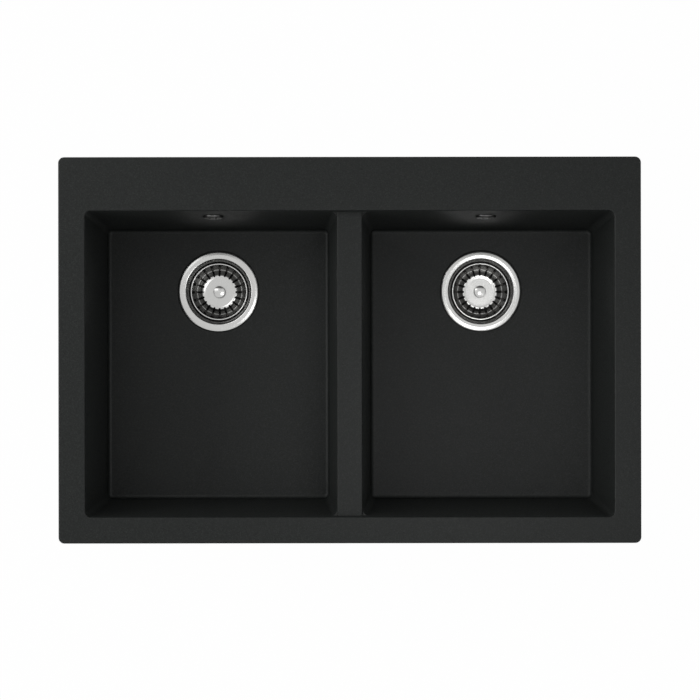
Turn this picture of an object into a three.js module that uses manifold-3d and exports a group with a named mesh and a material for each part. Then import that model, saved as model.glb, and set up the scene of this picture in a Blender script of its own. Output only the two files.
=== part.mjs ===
// Double bowl kitchen sink for a worktop cut-out.
//
// One cast bowl unit with a strainer, waste and overflow for each bowl, and eight clips that hold its rim down.
// Units are millimetres. The worktop's surface is z = 0, the rim lies on it, +Y points to the tap ledge at the
// back, and the origin is the centre of the rim's outline.

import * as THREE from 'three';
import { mergeVertices } from 'three/addons/utils/BufferGeometryUtils.js';
import Module from 'manifold-3d';

const wasm = await Module();
wasm.setup();

// ---------------------------------------------------------------------------------------------------------------
// Driving dimensions
// ---------------------------------------------------------------------------------------------------------------

// Rim
const sinkWidth = 780;
const sinkLength = 517.2;
const outlineRadius = 8;
const rimThickness = 9;
const rimEdgeRadius = 2;
const sideRimWidth = 35.8;
const frontRimWidth = 35.3;
const tapLedgeWidth = 72;

// Bowls
const bowlDepth = 200; // from the rim's top to the floor at the drain
const bowlCornerRadius = 8;
const bowlSideDraft = 3.7; // degrees
const bowlEndDraft = 4.35; // degrees
const floorFilletRadius = 6;
const floorFall = 2;
const wallThickness = 8;
const floorThickness = 11;
const outerFilletRadius = 14;

// Divider
const dividerWidth = 34;
const dividerDrop = 14; // below the rim's top
const dividerThickness = 9;

// Drain: the seat in the floor. The strainer's throat sets the size of the hole and of the whole drain.
const drainFromRear = 102.2; // from the bowl's rear edge
const throatRadius = 46;
const drainSeatMargin = 1.8; // round the flange
const drainSeatDepth = 2.6;
const drainHoleClearance = 0.7; // round the cup

// Strainer cup
const flangeWidth = 10.2;
const flangeCrown = 0.6;
const cupSheet = 1;
const coneFoot = 14; // where the throat's cone ends, below the floor
const coneTaper = 5;
const cupStep = 2; // from the cone's foot in to the wall
const cupDepth = 44;
const cupBendRadius = 6; // between wall and bottom
const dimpleClearance = 1; // round the clamping screw's head
const dimpleDepth = 4;
const outletCount = 6;
const outletWidth = 9;
const outletFromDimple = 4.5;
const outletFromWall = 11;

// Basket
const basketRimGap = 0.8; // to the cone's foot
const basketRimHeight = 1.6;
const basketRimWidth = 2.2;
const basketRimRise = 2; // above the cone's foot
const basketStandoff = 8; // from the cup's bottom
const basketGrooveShare = 0.83; // of the wall's radius, out to the lowest ring of the basket's bottom
const basketCrestShare = 0.61; // of the wall's radius, out to the edge of the bottom's raised middle
const basketCrestRise = 5; // above the groove
const basketDish = 0.5; // from the crest down to the middle
const basketSheet = 0.8;
const slotCount = 20;
const slotWidth = 2.9;
const slotPastCrest = 0.8;
const slotFromWall = 1.6;
const knobRadius = 8.2;
const knobHeight = 12.5;
const knobNeckRadius = 4.2;
const stemRadius = 3;
const stemCatch = 0.6; // how far the catch stands out
const stemLength = 24.5;
const stopperLap = 3; // beyond the cup's outlets
const stopperThickness = 3;

// Waste below the bowl
const sealThickness = 2;
const sealWidth = 8;
const wasteWall = 3;
const chamberClearance = 3; // round the cup
const chamberDepth = 38; // from the flange down to the cone
const coneDepth = 18;
const outletRadius = 20.9;
const outletLength = 26;
const wasteFlangeThickness = 4;
const hubWall = 5.7;
const hubDepth = 12;
const spokeCount = 3;
const spokeWidth = 4;
const clampHeadWidth = 3.5; // round the shank
const clampHeadHeight = 3;
const clampWall = 1.8;
const clampBoreClearance = 0.6; // round the stem's catch
const clampBoreDepth = 16;
const clampLength = 17; // below the head

// Overflow
const overflowDrop = 55; // from the rim's top to the overflow's centre
const overflowHoleRadius = 12;
const coverRadius = 14;
const coverHeight = 4;
const coverSheet = 1;
const coverSlotCount = 6;
const coverSlotWidth = 2.6;
const coverSlotInnerRadius = 5.8;
const coverSlotOuterRadius = 10;
const overflowScrewRadius = 2.4;
const overflowScrewHeadRadius = 4.4;
const elbowFlangeRadius = 21;
const elbowRadius = 15;
const elbowDepth = 30;
const elbowWall = 2.5;
const elbowPostRadius = 5;
const spigotOffset = 18; // from the back of the bowl's wall to the hose's centre line
const spigotRadius = 8;
const spigotWall = 2;
const spigotLength = 22; // beyond the chamber that it stands on
const wasteSpigotDrop = 19; // from the waste's flange to the spigot's centre line

// Overflow hose
const hoseRibRadius = 11.9;
const hoseValleyRadius = 10.2;
const hoseCuffRadius = 11;
const hoseBendRadius = 42;
const hoseRibPitch = 7.5;
const hoseCuffLength = 24;
const hoseGrip = 18; // how far a cuff is pushed over its spigot
const hoseRingPoints = 8;
const boreRingEvery = 5; // ribs

// Worktop clips and tap holes
const clipBossRadius = 7;
const clipBossDrop = 34;
const clipBossInset = 18.5; // from the rim's outline
const clipBossWebWidth = 5;
const clipWidth = 14;
const clipSheet = 1.6;
const clipReach = 42;
const clipToeHeight = 7;
const clipScrewRadius = 2.5;
const clipScrewHeadRadius = 4.6;
const clipScrewHeadHeight = 2.8;
const clipScrewDepth = 24; // of the hole in the boss
const sideClipFrontY = -150;
const sideClipRearY = 115;
const rearClipX = 262;
const tapHoleRadius = 17.5;
const tapHoleBlankDepth = 5;
const tapHoleSpacing = 110;

// Clearance between faces that bear on each other, and round a shank, stem or sleeve
const seatGap = 0.3;

// Facets
const drainSegments = 24;
const basketSegments = 2 * slotCount;
const ringSegments = 18;
const smallSegments = 12;
const screwSegments = 8;
const cornerSteps = 3;

// ---------------------------------------------------------------------------------------------------------------
// Places that follow from the driving dimensions
// ---------------------------------------------------------------------------------------------------------------

const radians = THREE.MathUtils.degToRad;
const sideSlope = Math.tan(radians(bowlSideDraft));
const endSlope = Math.tan(radians(bowlEndDraft));

const rimTop = rimThickness;
const dividerTop = rimTop - dividerDrop;
const drainTop = rimTop - bowlDepth;
const floorTop = drainTop + floorFall;
const floorBottom = drainTop - floorThickness;

const bowlLength = sinkLength - frontRimWidth - tapLedgeWidth;
const rimDividerWidth = dividerWidth - 2 * dividerDrop * sideSlope;
const bowlWidth = (sinkWidth - 2 * sideRimWidth - rimDividerWidth) / 2;
const bowlCentreX = (rimDividerWidth + bowlWidth) / 2;
const bowlCentreY = -sinkLength / 2 + frontRimWidth + bowlLength / 2;
const bowlRearY = bowlCentreY + bowlLength / 2;
const bowlFrontY = bowlCentreY - bowlLength / 2;
const drainY = bowlRearY - drainFromRear;

const bowlSides = [
  { name: 'left', x: -bowlCentreX },
  { name: 'right', x: bowlCentreX },
];

// Radii in the drain, from the stem outwards and from the throat inwards
const stemCatchRadius = stemRadius + stemCatch;
const clampBoreRadius = stemCatchRadius + clampBoreClearance;
const clampShankRadius = clampBoreRadius + clampWall;
const clampHeadRadius = clampShankRadius + clampHeadWidth;
const hubRadius = clampShankRadius + seatGap + hubWall;
const dimpleRadius = clampHeadRadius + cupSheet + dimpleClearance;
const drainHoleRadius = throatRadius;
const flangeRadius = throatRadius + flangeWidth;
const drainSeatRadius = flangeRadius + drainSeatMargin;
const coneRadius = throatRadius - coneTaper;
const cupRadius = coneRadius - cupStep;
const outletInnerRadius = dimpleRadius + outletFromDimple;
const outletOuterRadius = cupRadius - outletFromWall;
const stopperRadius = outletOuterRadius + stopperLap;
const basketRimRadius = coneRadius - basketRimGap;
const basketWallRadius = basketRimRadius - basketRimWidth;
const basketGrooveRadius = basketWallRadius * basketGrooveShare;
const basketCrestRadius = basketWallRadius * basketCrestShare;
const slotInnerRadius = basketCrestRadius - slotPastCrest;
const slotOuterRadius = basketWallRadius - slotFromWall;
const sealRadius = drainHoleRadius + sealWidth;
const chamberRadius = cupRadius + cupSheet + chamberClearance;

// Heights in the drain, measured from the floor
const basketRimDepth = coneFoot - basketRimRise;
const basketDepth = cupDepth - basketStandoff;
const basketCrestDepth = basketDepth - basketCrestRise;
const basketMiddleDepth = basketCrestDepth + basketDish;
const sealTop = -floorThickness - seatGap;
const wasteTop = sealTop - sealThickness - seatGap;
const cupBottom = -cupDepth - cupSheet;
const dimpleBottom = cupBottom - dimpleDepth;
const clampHeadTop = -cupDepth - dimpleDepth + seatGap + clampHeadHeight;
const hubTop = dimpleBottom - seatGap;
const coneTop = wasteTop - chamberDepth;
const coneBottom = coneTop - coneDepth;
const outletTop = coneBottom - seatGap;
const outletEnd = coneBottom - outletLength;
const wasteSpigotZ = wasteTop - wasteSpigotDrop;
const stopperBottom = -cupDepth + seatGap;

// Overflow, in the plane of the rear wall
const overflowZ = rimTop - overflowDrop;
const overflowY = bowlRearY - overflowDrop * endSlope;
const wallTilt = radians(bowlEndDraft);
const elbowFront = wallThickness + 2 * seatGap + sealThickness;
const spigotHeight = wallThickness + spigotOffset;
const overflowScrewEnd = wallThickness + elbowDepth / 2;

// The hose's bore clears the spigots also at the middle of its facets
const hoseBoreRadius = (spigotRadius + seatGap) / Math.cos(Math.PI / hoseRingPoints);

// ---------------------------------------------------------------------------------------------------------------
// Finishes
// ---------------------------------------------------------------------------------------------------------------

const granite = new THREE.MeshStandardMaterial({ color: 0x2f3230, roughness: 0.55, metalness: 0 });
const steel = new THREE.MeshStandardMaterial({ color: 0xc4c4c2, roughness: 0.22, metalness: 1 });
const zinc = new THREE.MeshStandardMaterial({ color: 0xb3b5b5, roughness: 0.4, metalness: 1 });
const rubber = new THREE.MeshStandardMaterial({ color: 0x161616, roughness: 0.85, metalness: 0 });
const blackPlastic = new THREE.MeshStandardMaterial({ color: 0x1b1c1d, roughness: 0.45, metalness: 0 });
const greyPlastic = new THREE.MeshStandardMaterial({ color: 0x8b8d8e, roughness: 0.5, metalness: 0 });

// ---------------------------------------------------------------------------------------------------------------
// Solids
// ---------------------------------------------------------------------------------------------------------------

/** Signed volume of an indexed mesh: negative where its faces point inwards. */
function signedVolume(positions, index) {
  const [a, b, c] = [new THREE.Vector3(), new THREE.Vector3(), new THREE.Vector3()];
  let volume = 0;
  for (let i = 0; i < index.length; i += 3) {
    a.fromArray(positions, 3 * index[i]);
    b.fromArray(positions, 3 * index[i + 1]);
    c.fromArray(positions, 3 * index[i + 2]);
    volume += a.dot(b.cross(c)) / 6;
  }
  return volume;
}

/** Solid from a closed geometry: shared vertices merged, collapsed triangles dropped, faces pointing out. */
function solid(geometry) {
  const bare = geometry.clone();
  bare.deleteAttribute('normal');
  bare.deleteAttribute('uv');
  const merged = mergeVertices(bare, 1e-4);
  const positions = merged.attributes.position.array;
  const index = [];
  for (let i = 0; i < merged.index.count; i += 3) {
    const [a, b, c] = merged.index.array.slice(i, i + 3);
    if (a !== b && b !== c && c !== a) index.push(a, b, c);
  }
  if (signedVolume(positions, index) < 0) index.reverse();
  return new wasm.Manifold(
    new wasm.Mesh({ numProp: 3, vertProperties: new Float32Array(positions), triVerts: new Uint32Array(index) }),
  );
}

/** Geometry of a solid, for a mesh. */
function geometryOf(body) {
  const mesh = body.getMesh();
  const geometry = new THREE.BufferGeometry();
  geometry.setAttribute('position', new THREE.BufferAttribute(new Float32Array(mesh.vertProperties), 3));
  geometry.setIndex(new THREE.BufferAttribute(new Uint32Array(mesh.triVerts), 1));
  geometry.computeVertexNormals();
  return geometry;
}

/** All the solids as one. */
const join = (solids) => solids.reduce((whole, piece) => whole.add(piece));

/** A solid with others cut out of it. */
const cut = (body, tools) => tools.reduce((rest, tool) => rest.subtract(tool), body);

/** Turned solid about Z. Its profile of [radius, height] points closes on itself, or starts and ends on the axis. */
function turned(profile, segments, x = 0, y = 0, z = 0) {
  const onAxis = profile[0][0] === 0 && profile.at(-1)[0] === 0;
  const closed = onAxis ? profile : [...profile, profile[0]];
  const points = closed.map(([radius, height]) => new THREE.Vector2(radius, height));
  return solid(new THREE.LatheGeometry(points, segments).rotateX(Math.PI / 2).translate(x, y, z));
}

/** Cylinder about Z between two heights. */
const cylinder = (radius, bottom, top, segments, x = 0, y = 0) =>
  turned([[0, bottom], [radius, bottom], [radius, top], [0, top]], segments, x, y);

/** Ring about Z with a rectangular section. */
const ring = (inner, outer, bottom, top, segments) =>
  turned([[inner, bottom], [outer, bottom], [outer, top], [inner, top]], segments);

/** Block between two corners. */
function block(low, high) {
  const size = high.map((value, axis) => value - low[axis]);
  const centre = high.map((value, axis) => (value + low[axis]) / 2);
  return solid(new THREE.BoxGeometry(...size).translate(...centre));
}

/** Closed solid through rings of points that are stacked upwards, each run anticlockwise seen from above. */
function loft(rings) {
  const count = rings[0].length;
  const index = [];
  for (let level = 0; level + 1 < rings.length; level += 1) {
    for (let i = 0; i < count; i += 1) {
      const [a, b] = [level * count + i, level * count + ((i + 1) % count)];
      index.push(a, b, b + count, a, b + count, a + count);
    }
  }
  const top = (rings.length - 1) * count;
  for (let i = 1; i + 1 < count; i += 1) {
    index.push(0, i + 1, i);
    index.push(top, top + i, top + i + 1);
  }
  const geometry = new THREE.BufferGeometry();
  geometry.setAttribute('position', new THREE.Float32BufferAttribute(rings.flat(2), 3));
  geometry.setIndex(index);
  return solid(geometry);
}

/** Closed solid through a loop of rings that ends where it starts, such as a tube's outside and its bore. */
function loopOfRings(rings) {
  const count = rings[0].length;
  const index = rings.flatMap((_, level) =>
    Array.from({ length: count }, (__, i) => {
      const next = (level + 1) % rings.length;
      const [a, b] = [level * count + i, level * count + ((i + 1) % count)];
      const [c, d] = [next * count + ((i + 1) % count), next * count + i];
      return [a, b, c, a, c, d];
    })).flat(1);
  const geometry = new THREE.BufferGeometry();
  geometry.setAttribute('position', new THREE.Float32BufferAttribute(rings.flat(2), 3));
  geometry.setIndex(index);
  return solid(geometry);
}

/** Ring of points round a rectangle with round corners. */
function roundedRing(x, y, z, halfWidth, halfLength, radius) {
  const corners = [[1, 1], [-1, 1], [-1, -1], [1, -1]];
  return corners.flatMap(([signX, signY], corner) =>
    Array.from({ length: cornerSteps + 1 }, (_, step) => {
      const angle = (Math.PI / 2) * (corner + step / cornerSteps);
      return [
        x + signX * (halfWidth - radius) + radius * Math.cos(angle),
        y + signY * (halfLength - radius) + radius * Math.sin(angle),
        z,
      ];
    }),
  );
}

/** Ring of points round a circle, that matches a rounded ring point for point. */
function circleRing(x, y, z, radius) {
  const count = 4 * (cornerSteps + 1);
  return Array.from({ length: count }, (_, i) => {
    const angle = (2 * Math.PI * (i + 0.5)) / count;
    return [x + radius * Math.cos(angle), y + radius * Math.sin(angle), z];
  });
}

/** Points of an arc in a profile plane, from one angle to another in degrees. */
function arc(centreU, centreV, radius, from, to, steps) {
  return Array.from({ length: steps + 1 }, (_, i) => {
    const angle = radians(from + ((to - from) * i) / steps);
    return [centreU + radius * Math.cos(angle), centreV + radius * Math.sin(angle)];
  });
}

/** Upright prism over an outline of [x, y] points. */
function prism(outline, bottom, top) {
  const shape = new THREE.Shape(outline.map(([x, y]) => new THREE.Vector2(x, y)));
  return solid(new THREE.ExtrudeGeometry(shape, { depth: top - bottom, bevelEnabled: false }).translate(0, 0, bottom));
}

/** Radial slots with round ends, spaced evenly round the axis. */
function radialSlots(count, width, inner, outer, bottom, top, endSteps) {
  const half = width / 2;
  const outline = [
    ...arc(outer - half, 0, half, -90, 90, endSteps),
    ...arc(inner + half, 0, half, 90, 270, endSteps),
  ];
  const slot = prism(outline, bottom, top);
  return Array.from({ length: count }, (_, i) => slot.rotate([0, 0, (360 * i) / count]));
}

// ---------------------------------------------------------------------------------------------------------------
// Bowl unit
// ---------------------------------------------------------------------------------------------------------------

/** Plate of the rim with its rounded top edge. */
function rimPlate() {
  const edge = arc(0, rimTop - rimEdgeRadius, rimEdgeRadius, 0, 90, 2);
  const outline = (z, inset) =>
    roundedRing(0, 0, z, sinkWidth / 2 - inset, sinkLength / 2 - inset, outlineRadius - inset);
  return loft([outline(0, 0), ...edge.map(([reach, z]) => outline(z, rimEdgeRadius - reach))]);
}

/** Inside of a bowl, from the drain's seat to above the rim. Its walls lean outwards and flare at the top edge. */
function bowlCavity(x, width, length) {
  const wall = (z, inset, radius) => {
    const depth = rimTop - z;
    return roundedRing(x, bowlCentreY, z, width / 2 - depth * sideSlope - inset,
      length / 2 - depth * endSlope - inset, radius);
  };
  const tangent = (bowlSideDraft + bowlEndDraft) / 2;
  const cornerAt = (inset) => Math.max(bowlCornerRadius - inset, rimEdgeRadius);
  const fillet = arc(-floorFilletRadius, floorTop + floorFilletRadius, floorFilletRadius, -90, -tangent, 3);
  const flare = arc(rimEdgeRadius, rimTop - rimEdgeRadius, rimEdgeRadius, 180, 90, 2);
  return loft([
    circleRing(x, drainY, drainTop, drainSeatRadius - 4),
    ...fillet.map(([reach, z]) => wall(z, -reach, cornerAt(-reach))),
    ...flare.map(([reach, z]) => wall(z, -reach, cornerAt(-reach))),
    wall(rimTop + 1, -rimEdgeRadius, cornerAt(-rimEdgeRadius)),
  ]);
}

/** Outside of a bowl, up into the rim's plate. */
function bowlShell(x) {
  const skin = (z, inset) => {
    const depth = rimTop - z;
    return roundedRing(x, bowlCentreY, z, bowlWidth / 2 - depth * sideSlope + wallThickness - inset,
      bowlLength / 2 - depth * endSlope + wallThickness - inset, bowlCornerRadius + wallThickness - inset / 2);
  };
  const fillet = arc(-outerFilletRadius, floorBottom + outerFilletRadius, outerFilletRadius, -90, 0, 3);
  return loft([...fillet.map(([reach, z]) => skin(z, -reach)), skin(rimThickness / 2, 0)]);
}

/** Bridge of the divider, between the two bowls' walls. */
function dividerBridge() {
  const halfWidth = dividerWidth / 2;
  const halfLength = bowlLength / 2 + wallThickness / 2;
  return block(
    [-halfWidth, bowlCentreY - halfLength, dividerTop - dividerThickness],
    [halfWidth, bowlCentreY + halfLength, rimTop],
  );
}

/** What is cut away above the divider. Its ends follow the bowls' end walls, and it rounds the divider's edges. */
function dividerSaddle() {
  const radius = rimEdgeRadius;
  const edge = dividerWidth / 2 + radius * sideSlope;
  const reach = edge + 2 * bowlCornerRadius;
  const foot = dividerTop - radius;
  const outline = [
    [-reach, foot],
    ...arc(radius - edge, foot, radius, 180, 90, 2),
    ...arc(edge - radius, foot, radius, 90, 0, 2),
    [reach, foot],
    [reach, rimTop + radius],
    [-reach, rimTop + radius],
  ];
  const along = prism(outline, -bowlRearY - wallThickness, wallThickness - bowlFrontY).rotate([90, 0, 0]);
  return along.intersect(bowlCavity(0, 2 * bowlWidth + rimDividerWidth, bowlLength));
}

/** Worktop clips: name, screw's place, the heading they clamp at and the heading they are parked at, in degrees. */
function clipPlaces() {
  const sideX = sinkWidth / 2 - clipBossInset;
  const endY = sinkLength / 2 - clipBossInset;
  return [
    { name: 'front_left', x: -bowlCentreX, y: -endY, heading: -90, parked: 0 },
    { name: 'front_right', x: bowlCentreX, y: -endY, heading: -90, parked: 180 },
    { name: 'rear_left', x: -rearClipX, y: endY, heading: 90, parked: 0 },
    { name: 'rear_right', x: rearClipX, y: endY, heading: 90, parked: 180 },
    { name: 'left_front', x: -sideX, y: sideClipFrontY, heading: 180, parked: 90 },
    { name: 'left_rear', x: -sideX, y: sideClipRearY, heading: 180, parked: -90 },
    { name: 'right_front', x: sideX, y: sideClipFrontY, heading: 0, parked: 90 },
    { name: 'right_rear', x: sideX, y: sideClipRearY, heading: 0, parked: -90 },
  ];
}

/** Boss under the rim for a clip's screw, with the web that ties it to the bowl, and the hole for the screw. */
function clipBoss({ x, y, heading }) {
  const foot = cylinder(clipBossRadius, -clipBossDrop, rimThickness / 2, smallSegments);
  const half = clipBossWebWidth / 2;
  const web = block([-clipBossInset, -half, -clipBossDrop], [0, half, rimThickness / 2]);
  const hole = cylinder(clipScrewRadius + seatGap, -clipBossDrop - 1, clipScrewDepth - clipBossDrop, screwSegments);
  const place = (body) => body.rotate([0, 0, heading]).translate([x, y, 0]);
  return { boss: place(foot.add(web)), hole: place(hole) };
}

/** The cast bowl unit. */
function bowlUnit() {
  const bosses = clipPlaces().map(clipBoss);
  const body = join([
    rimPlate(),
    ...bowlSides.map(({ x }) => bowlShell(x)),
    dividerBridge(),
    ...bosses.map(({ boss }) => boss),
  ]);
  const drains = bowlSides.flatMap(({ x }) => [
    cylinder(drainSeatRadius, drainTop - drainSeatDepth, floorTop + 1, drainSegments, x, drainY),
    cylinder(drainHoleRadius, floorBottom - 1, drainTop, drainSegments, x, drainY),
  ]);
  const overflows = bowlSides.map(({ x }) =>
    cylinder(overflowHoleRadius, -2 * wallThickness, 2 * wallThickness, smallSegments)
      .rotate([-90 - bowlEndDraft, 0, 0])
      .translate([x, overflowY, overflowZ]));
  const tapHoleY = (bowlRearY + sinkLength / 2) / 2;
  const blanks = [-1, 0, 1].map((step) =>
    cylinder(tapHoleRadius, -1, tapHoleBlankDepth, ringSegments, step * tapHoleSpacing, tapHoleY));
  const cavities = bowlSides.map(({ x }) => bowlCavity(x, bowlWidth, bowlLength));
  return cut(body, [...cavities, dividerSaddle(), ...drains, ...overflows, ...blanks,
    ...bosses.map(({ hole }) => hole)]);
}

// ---------------------------------------------------------------------------------------------------------------
// Strainer: cup, basket, knob, stem and stopper. Heights are measured from the floor at the drain.
// ---------------------------------------------------------------------------------------------------------------

/** Pressed cup: a crowned flange, a conical throat, a straight wall and a bottom with a dimple and outlets. */
function strainerCup() {
  const sheet = cupSheet;
  const hole = clampShankRadius + seatGap;
  const bendRadius = cupRadius - cupBendRadius;
  const bendZ = -cupDepth + cupBendRadius;
  const inside = [
    [flangeRadius, -sheet / 2],
    [flangeRadius - 1.2, 0],
    [(flangeRadius + throatRadius) / 2, flangeCrown],
    [throatRadius, 0.1],
    [throatRadius - 1.1, -1.4],
    [coneRadius, -coneFoot],
    [cupRadius, -coneFoot - sheet],
    ...arc(bendRadius, bendZ, cupBendRadius, 0, -90, 2),
    [dimpleRadius, -cupDepth],
    [dimpleRadius - sheet, -cupDepth - dimpleDepth],
    [hole, -cupDepth - dimpleDepth],
  ];
  const outside = [
    [hole, dimpleBottom],
    [dimpleRadius, dimpleBottom],
    [dimpleRadius + sheet, cupBottom],
    ...arc(bendRadius, bendZ, cupBendRadius + sheet, -90, 0, 2),
    [cupRadius + sheet, -coneFoot - 2 * sheet],
    [coneRadius + sheet, -coneFoot - 0.4 * sheet],
    [throatRadius - drainHoleClearance, -3.2],
    [throatRadius + 0.4, -sheet],
    [flangeRadius, -sheet],
  ];
  const outlets = radialSlots(outletCount, outletWidth, outletInnerRadius, outletOuterRadius,
    cupBottom - 1, -cupDepth + 1, 2);
  return cut(turned([...inside, ...outside], drainSegments), outlets);
}

/** Curve that the basket's bowl is turned from: down its wall to the groove, then up to its raised middle. */
function basketCurve(offset) {
  const shoulder = -basketRimDepth - basketRimHeight;
  const reach = basketWallRadius - basketGrooveRadius + offset;
  const drop = basketDepth + shoulder + offset;
  const wall = [0, 30, 60, 90].map((angle) => [
    basketGrooveRadius + reach * Math.cos(radians(angle)),
    shoulder - drop * Math.sin(radians(angle)),
  ]);
  return [...wall, [basketCrestRadius, -basketCrestDepth - offset]];
}

/** Basket: a rolled rim over a bowl with a raised middle and radial slots. */
function basket() {
  const rimTopZ = -basketRimDepth;
  const rimFoot = rimTopZ - basketRimHeight;
  const hole = stemRadius + seatGap;
  const profile = [
    [basketRimRadius, rimFoot + 0.2],
    [basketRimRadius, rimTopZ - 0.4],
    [basketRimRadius - 0.5, rimTopZ],
    [basketRimRadius - 1.6, rimTopZ],
    [basketWallRadius, rimTopZ - 0.6],
    ...basketCurve(0),
    [hole, -basketMiddleDepth],
    [hole, -basketMiddleDepth - basketSheet],
    ...basketCurve(basketSheet).reverse(),
  ];
  const slots = radialSlots(slotCount, slotWidth, slotInnerRadius, slotOuterRadius,
    -basketDepth - 2 * basketSheet, rimFoot, 2);
  // The facets' edges lie between the slots
  return cut(turned(profile, basketSegments).rotate([0, 0, 180 / basketSegments]), slots);
}

/** Domed knob on its neck, on the middle of the basket's bottom. */
function knob() {
  const foot = -basketMiddleDepth + seatGap;
  const top = foot + knobHeight;
  const domeHeight = knobRadius / 2;
  const dome = [0, 30, 60].map((angle) => [
    knobRadius * Math.cos(radians(angle)),
    top - domeHeight * (1 - Math.sin(radians(angle))),
  ]);
  return turned([
    [0, foot],
    [knobNeckRadius + 2, foot],
    [knobNeckRadius, foot + 1.5],
    [knobNeckRadius, top - domeHeight - 4],
    [knobRadius - 0.8, top - domeHeight - 1.6],
    ...dome,
    [0, top],
  ], smallSegments);
}

/** Stem through the basket's bottom: two collars hold the stopper, and the catch is at its lower end. */
function stem() {
  const top = -basketMiddleDepth;
  const collarTop = top - basketSheet - seatGap;
  const stopperTop = stopperBottom + stopperThickness + seatGap;
  const flangeTop = stopperBottom + 1 - seatGap;
  const end = top - stemLength;
  return turned([
    [0, end],
    [stemRadius - 1, end],
    [stemCatchRadius, end + 2],
    [stemCatchRadius, end + 3.5],
    [stemRadius, end + 5],
    [stemRadius, flangeTop - 1.1],
    [2 * stemRadius, flangeTop - 1.1],
    [2 * stemRadius, flangeTop],
    [stemRadius, flangeTop],
    [stemRadius, stopperTop],
    [2.4 * stemRadius, stopperTop],
    [2.4 * stemRadius, collarTop],
    [stemRadius, collarTop],
    [stemRadius, top],
    [0, top],
  ], smallSegments);
}

/** Rubber stopper: a disc that turns down to a lip on the cup's bottom. */
function stopper() {
  const hole = stemRadius + seatGap;
  const top = stopperBottom + stopperThickness;
  return turned([
    [hole, stopperBottom + 1],
    [outletOuterRadius, stopperBottom + 1],
    [stopperRadius - 1.5, stopperBottom],
    [stopperRadius, stopperBottom],
    [stopperRadius, stopperBottom + 1],
    [outletOuterRadius, top],
    [hole, top],
  ], ringSegments);
}

// ---------------------------------------------------------------------------------------------------------------
// Waste: seals, chamber and clamping screw
// ---------------------------------------------------------------------------------------------------------------

/** Seal between the cup's flange and its seat in the floor. */
const flangeSeal = () =>
  ring(drainHoleRadius + 1, flangeRadius - 1, seatGap - drainSeatDepth, -cupSheet - seatGap, ringSegments);

/** Seal between the bowl's underside and the waste's flange. */
const wasteSeal = () => ring(drainHoleRadius + 1, sealRadius, sealTop - sealThickness, sealTop, ringSegments);

/** Spigot along +Y: its outside, and the bore that runs back into the chamber that it stands on. */
function spigot(from, to, height) {
  const place = (body) => body.rotate([-90, 0, 0]).translate([0, 0, height]);
  return {
    tube: place(cylinder(spigotRadius, from, to, smallSegments)),
    bore: place(cylinder(spigotRadius - spigotWall, from, to + 1, smallSegments)),
  };
}

/** Waste chamber: flange, cone, overflow spigot, and a hub on spokes for the clamping screw. */
function wasteBody() {
  const wall = wasteWall;
  const shell = turned([
    [chamberRadius, wasteTop],
    [sealRadius, wasteTop],
    [sealRadius, wasteTop - wasteFlangeThickness],
    [chamberRadius + wall, wasteTop - wasteFlangeThickness - 2],
    [chamberRadius + wall, coneTop],
    [outletRadius + wall, coneBottom],
    [outletRadius, coneBottom],
    [chamberRadius, coneTop],
  ], drainSegments);
  const { tube, bore } = spigot(chamberRadius - 2, chamberRadius + wall + spigotLength, wasteSpigotZ);
  const chamber = cylinder(chamberRadius, coneTop, wasteTop + 1, drainSegments);
  const hubBottom = hubTop - hubDepth;
  const hub = cylinder(hubRadius, hubBottom, hubTop, smallSegments);
  const spoke = block([0, -spokeWidth / 2, hubBottom], [chamberRadius + wall, spokeWidth / 2, hubTop - wall]);
  const inside = turned([
    [0, coneTop],
    [chamberRadius + wall / 2, coneTop],
    [outletRadius + wall / 2, coneBottom],
    [0, coneBottom],
  ], drainSegments);
  const spokes = Array.from({ length: spokeCount }, (_, i) =>
    spoke.rotate([0, 0, 90 + (360 * (i + 0.5)) / spokeCount]).intersect(inside));
  const screwHole = cylinder(clampShankRadius + seatGap, coneBottom, hubTop + 1, smallSegments);
  return cut(join([shell, tube.subtract(chamber), hub, ...spokes]), [bore, screwHole]);
}

/** Outlet below the chamber's cone, for the trap's union nut. */
const wasteOutlet = () => ring(outletRadius, outletRadius + wasteWall, outletEnd, outletTop, drainSegments);

/** Clamping screw: a low round head and a hollow shank that takes the basket's stem. */
function clampScrew() {
  const head = clampHeadTop - clampHeadHeight;
  const end = head - clampLength;
  return turned([
    [0, end],
    [clampShankRadius - 1, end],
    [clampShankRadius, end + 1],
    [clampShankRadius, head],
    [clampHeadRadius, head],
    [clampHeadRadius, clampHeadTop - 1],
    [clampHeadRadius - 1.5, clampHeadTop],
    [clampBoreRadius, clampHeadTop],
    [clampBoreRadius, clampHeadTop - clampBoreDepth],
    [0, clampHeadTop - clampBoreDepth],
  ], smallSegments);
}

// ---------------------------------------------------------------------------------------------------------------
// Overflow. Its pieces are turned about Z here, with z = 0 on the inside of the bowl's wall, +Z out of the bowl
// and +Y down the wall.
// ---------------------------------------------------------------------------------------------------------------

/** Domed cover with water slots and a countersunk hole. */
function overflowCover() {
  const face = -coverHeight;
  const hole = overflowScrewRadius + seatGap;
  const sink = overflowScrewHeadRadius - overflowScrewRadius;
  const disc = turned([
    [coverRadius, -seatGap],
    [coverRadius - coverSheet, -seatGap],
    [coverRadius - 1.6 * coverSheet, face + sink + 0.4],
    [hole, face + sink + 0.4],
    [hole, face + sink],
    [overflowScrewHeadRadius + seatGap, face],
    [coverRadius / 2, face],
    [coverRadius - 1.6, face + 1.1],
    [coverRadius, face + 2.6],
  ], ringSegments);
  return cut(disc, radialSlots(coverSlotCount, coverSlotWidth, coverSlotInnerRadius, coverSlotOuterRadius,
    face - 1, 0, 1));
}

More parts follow.
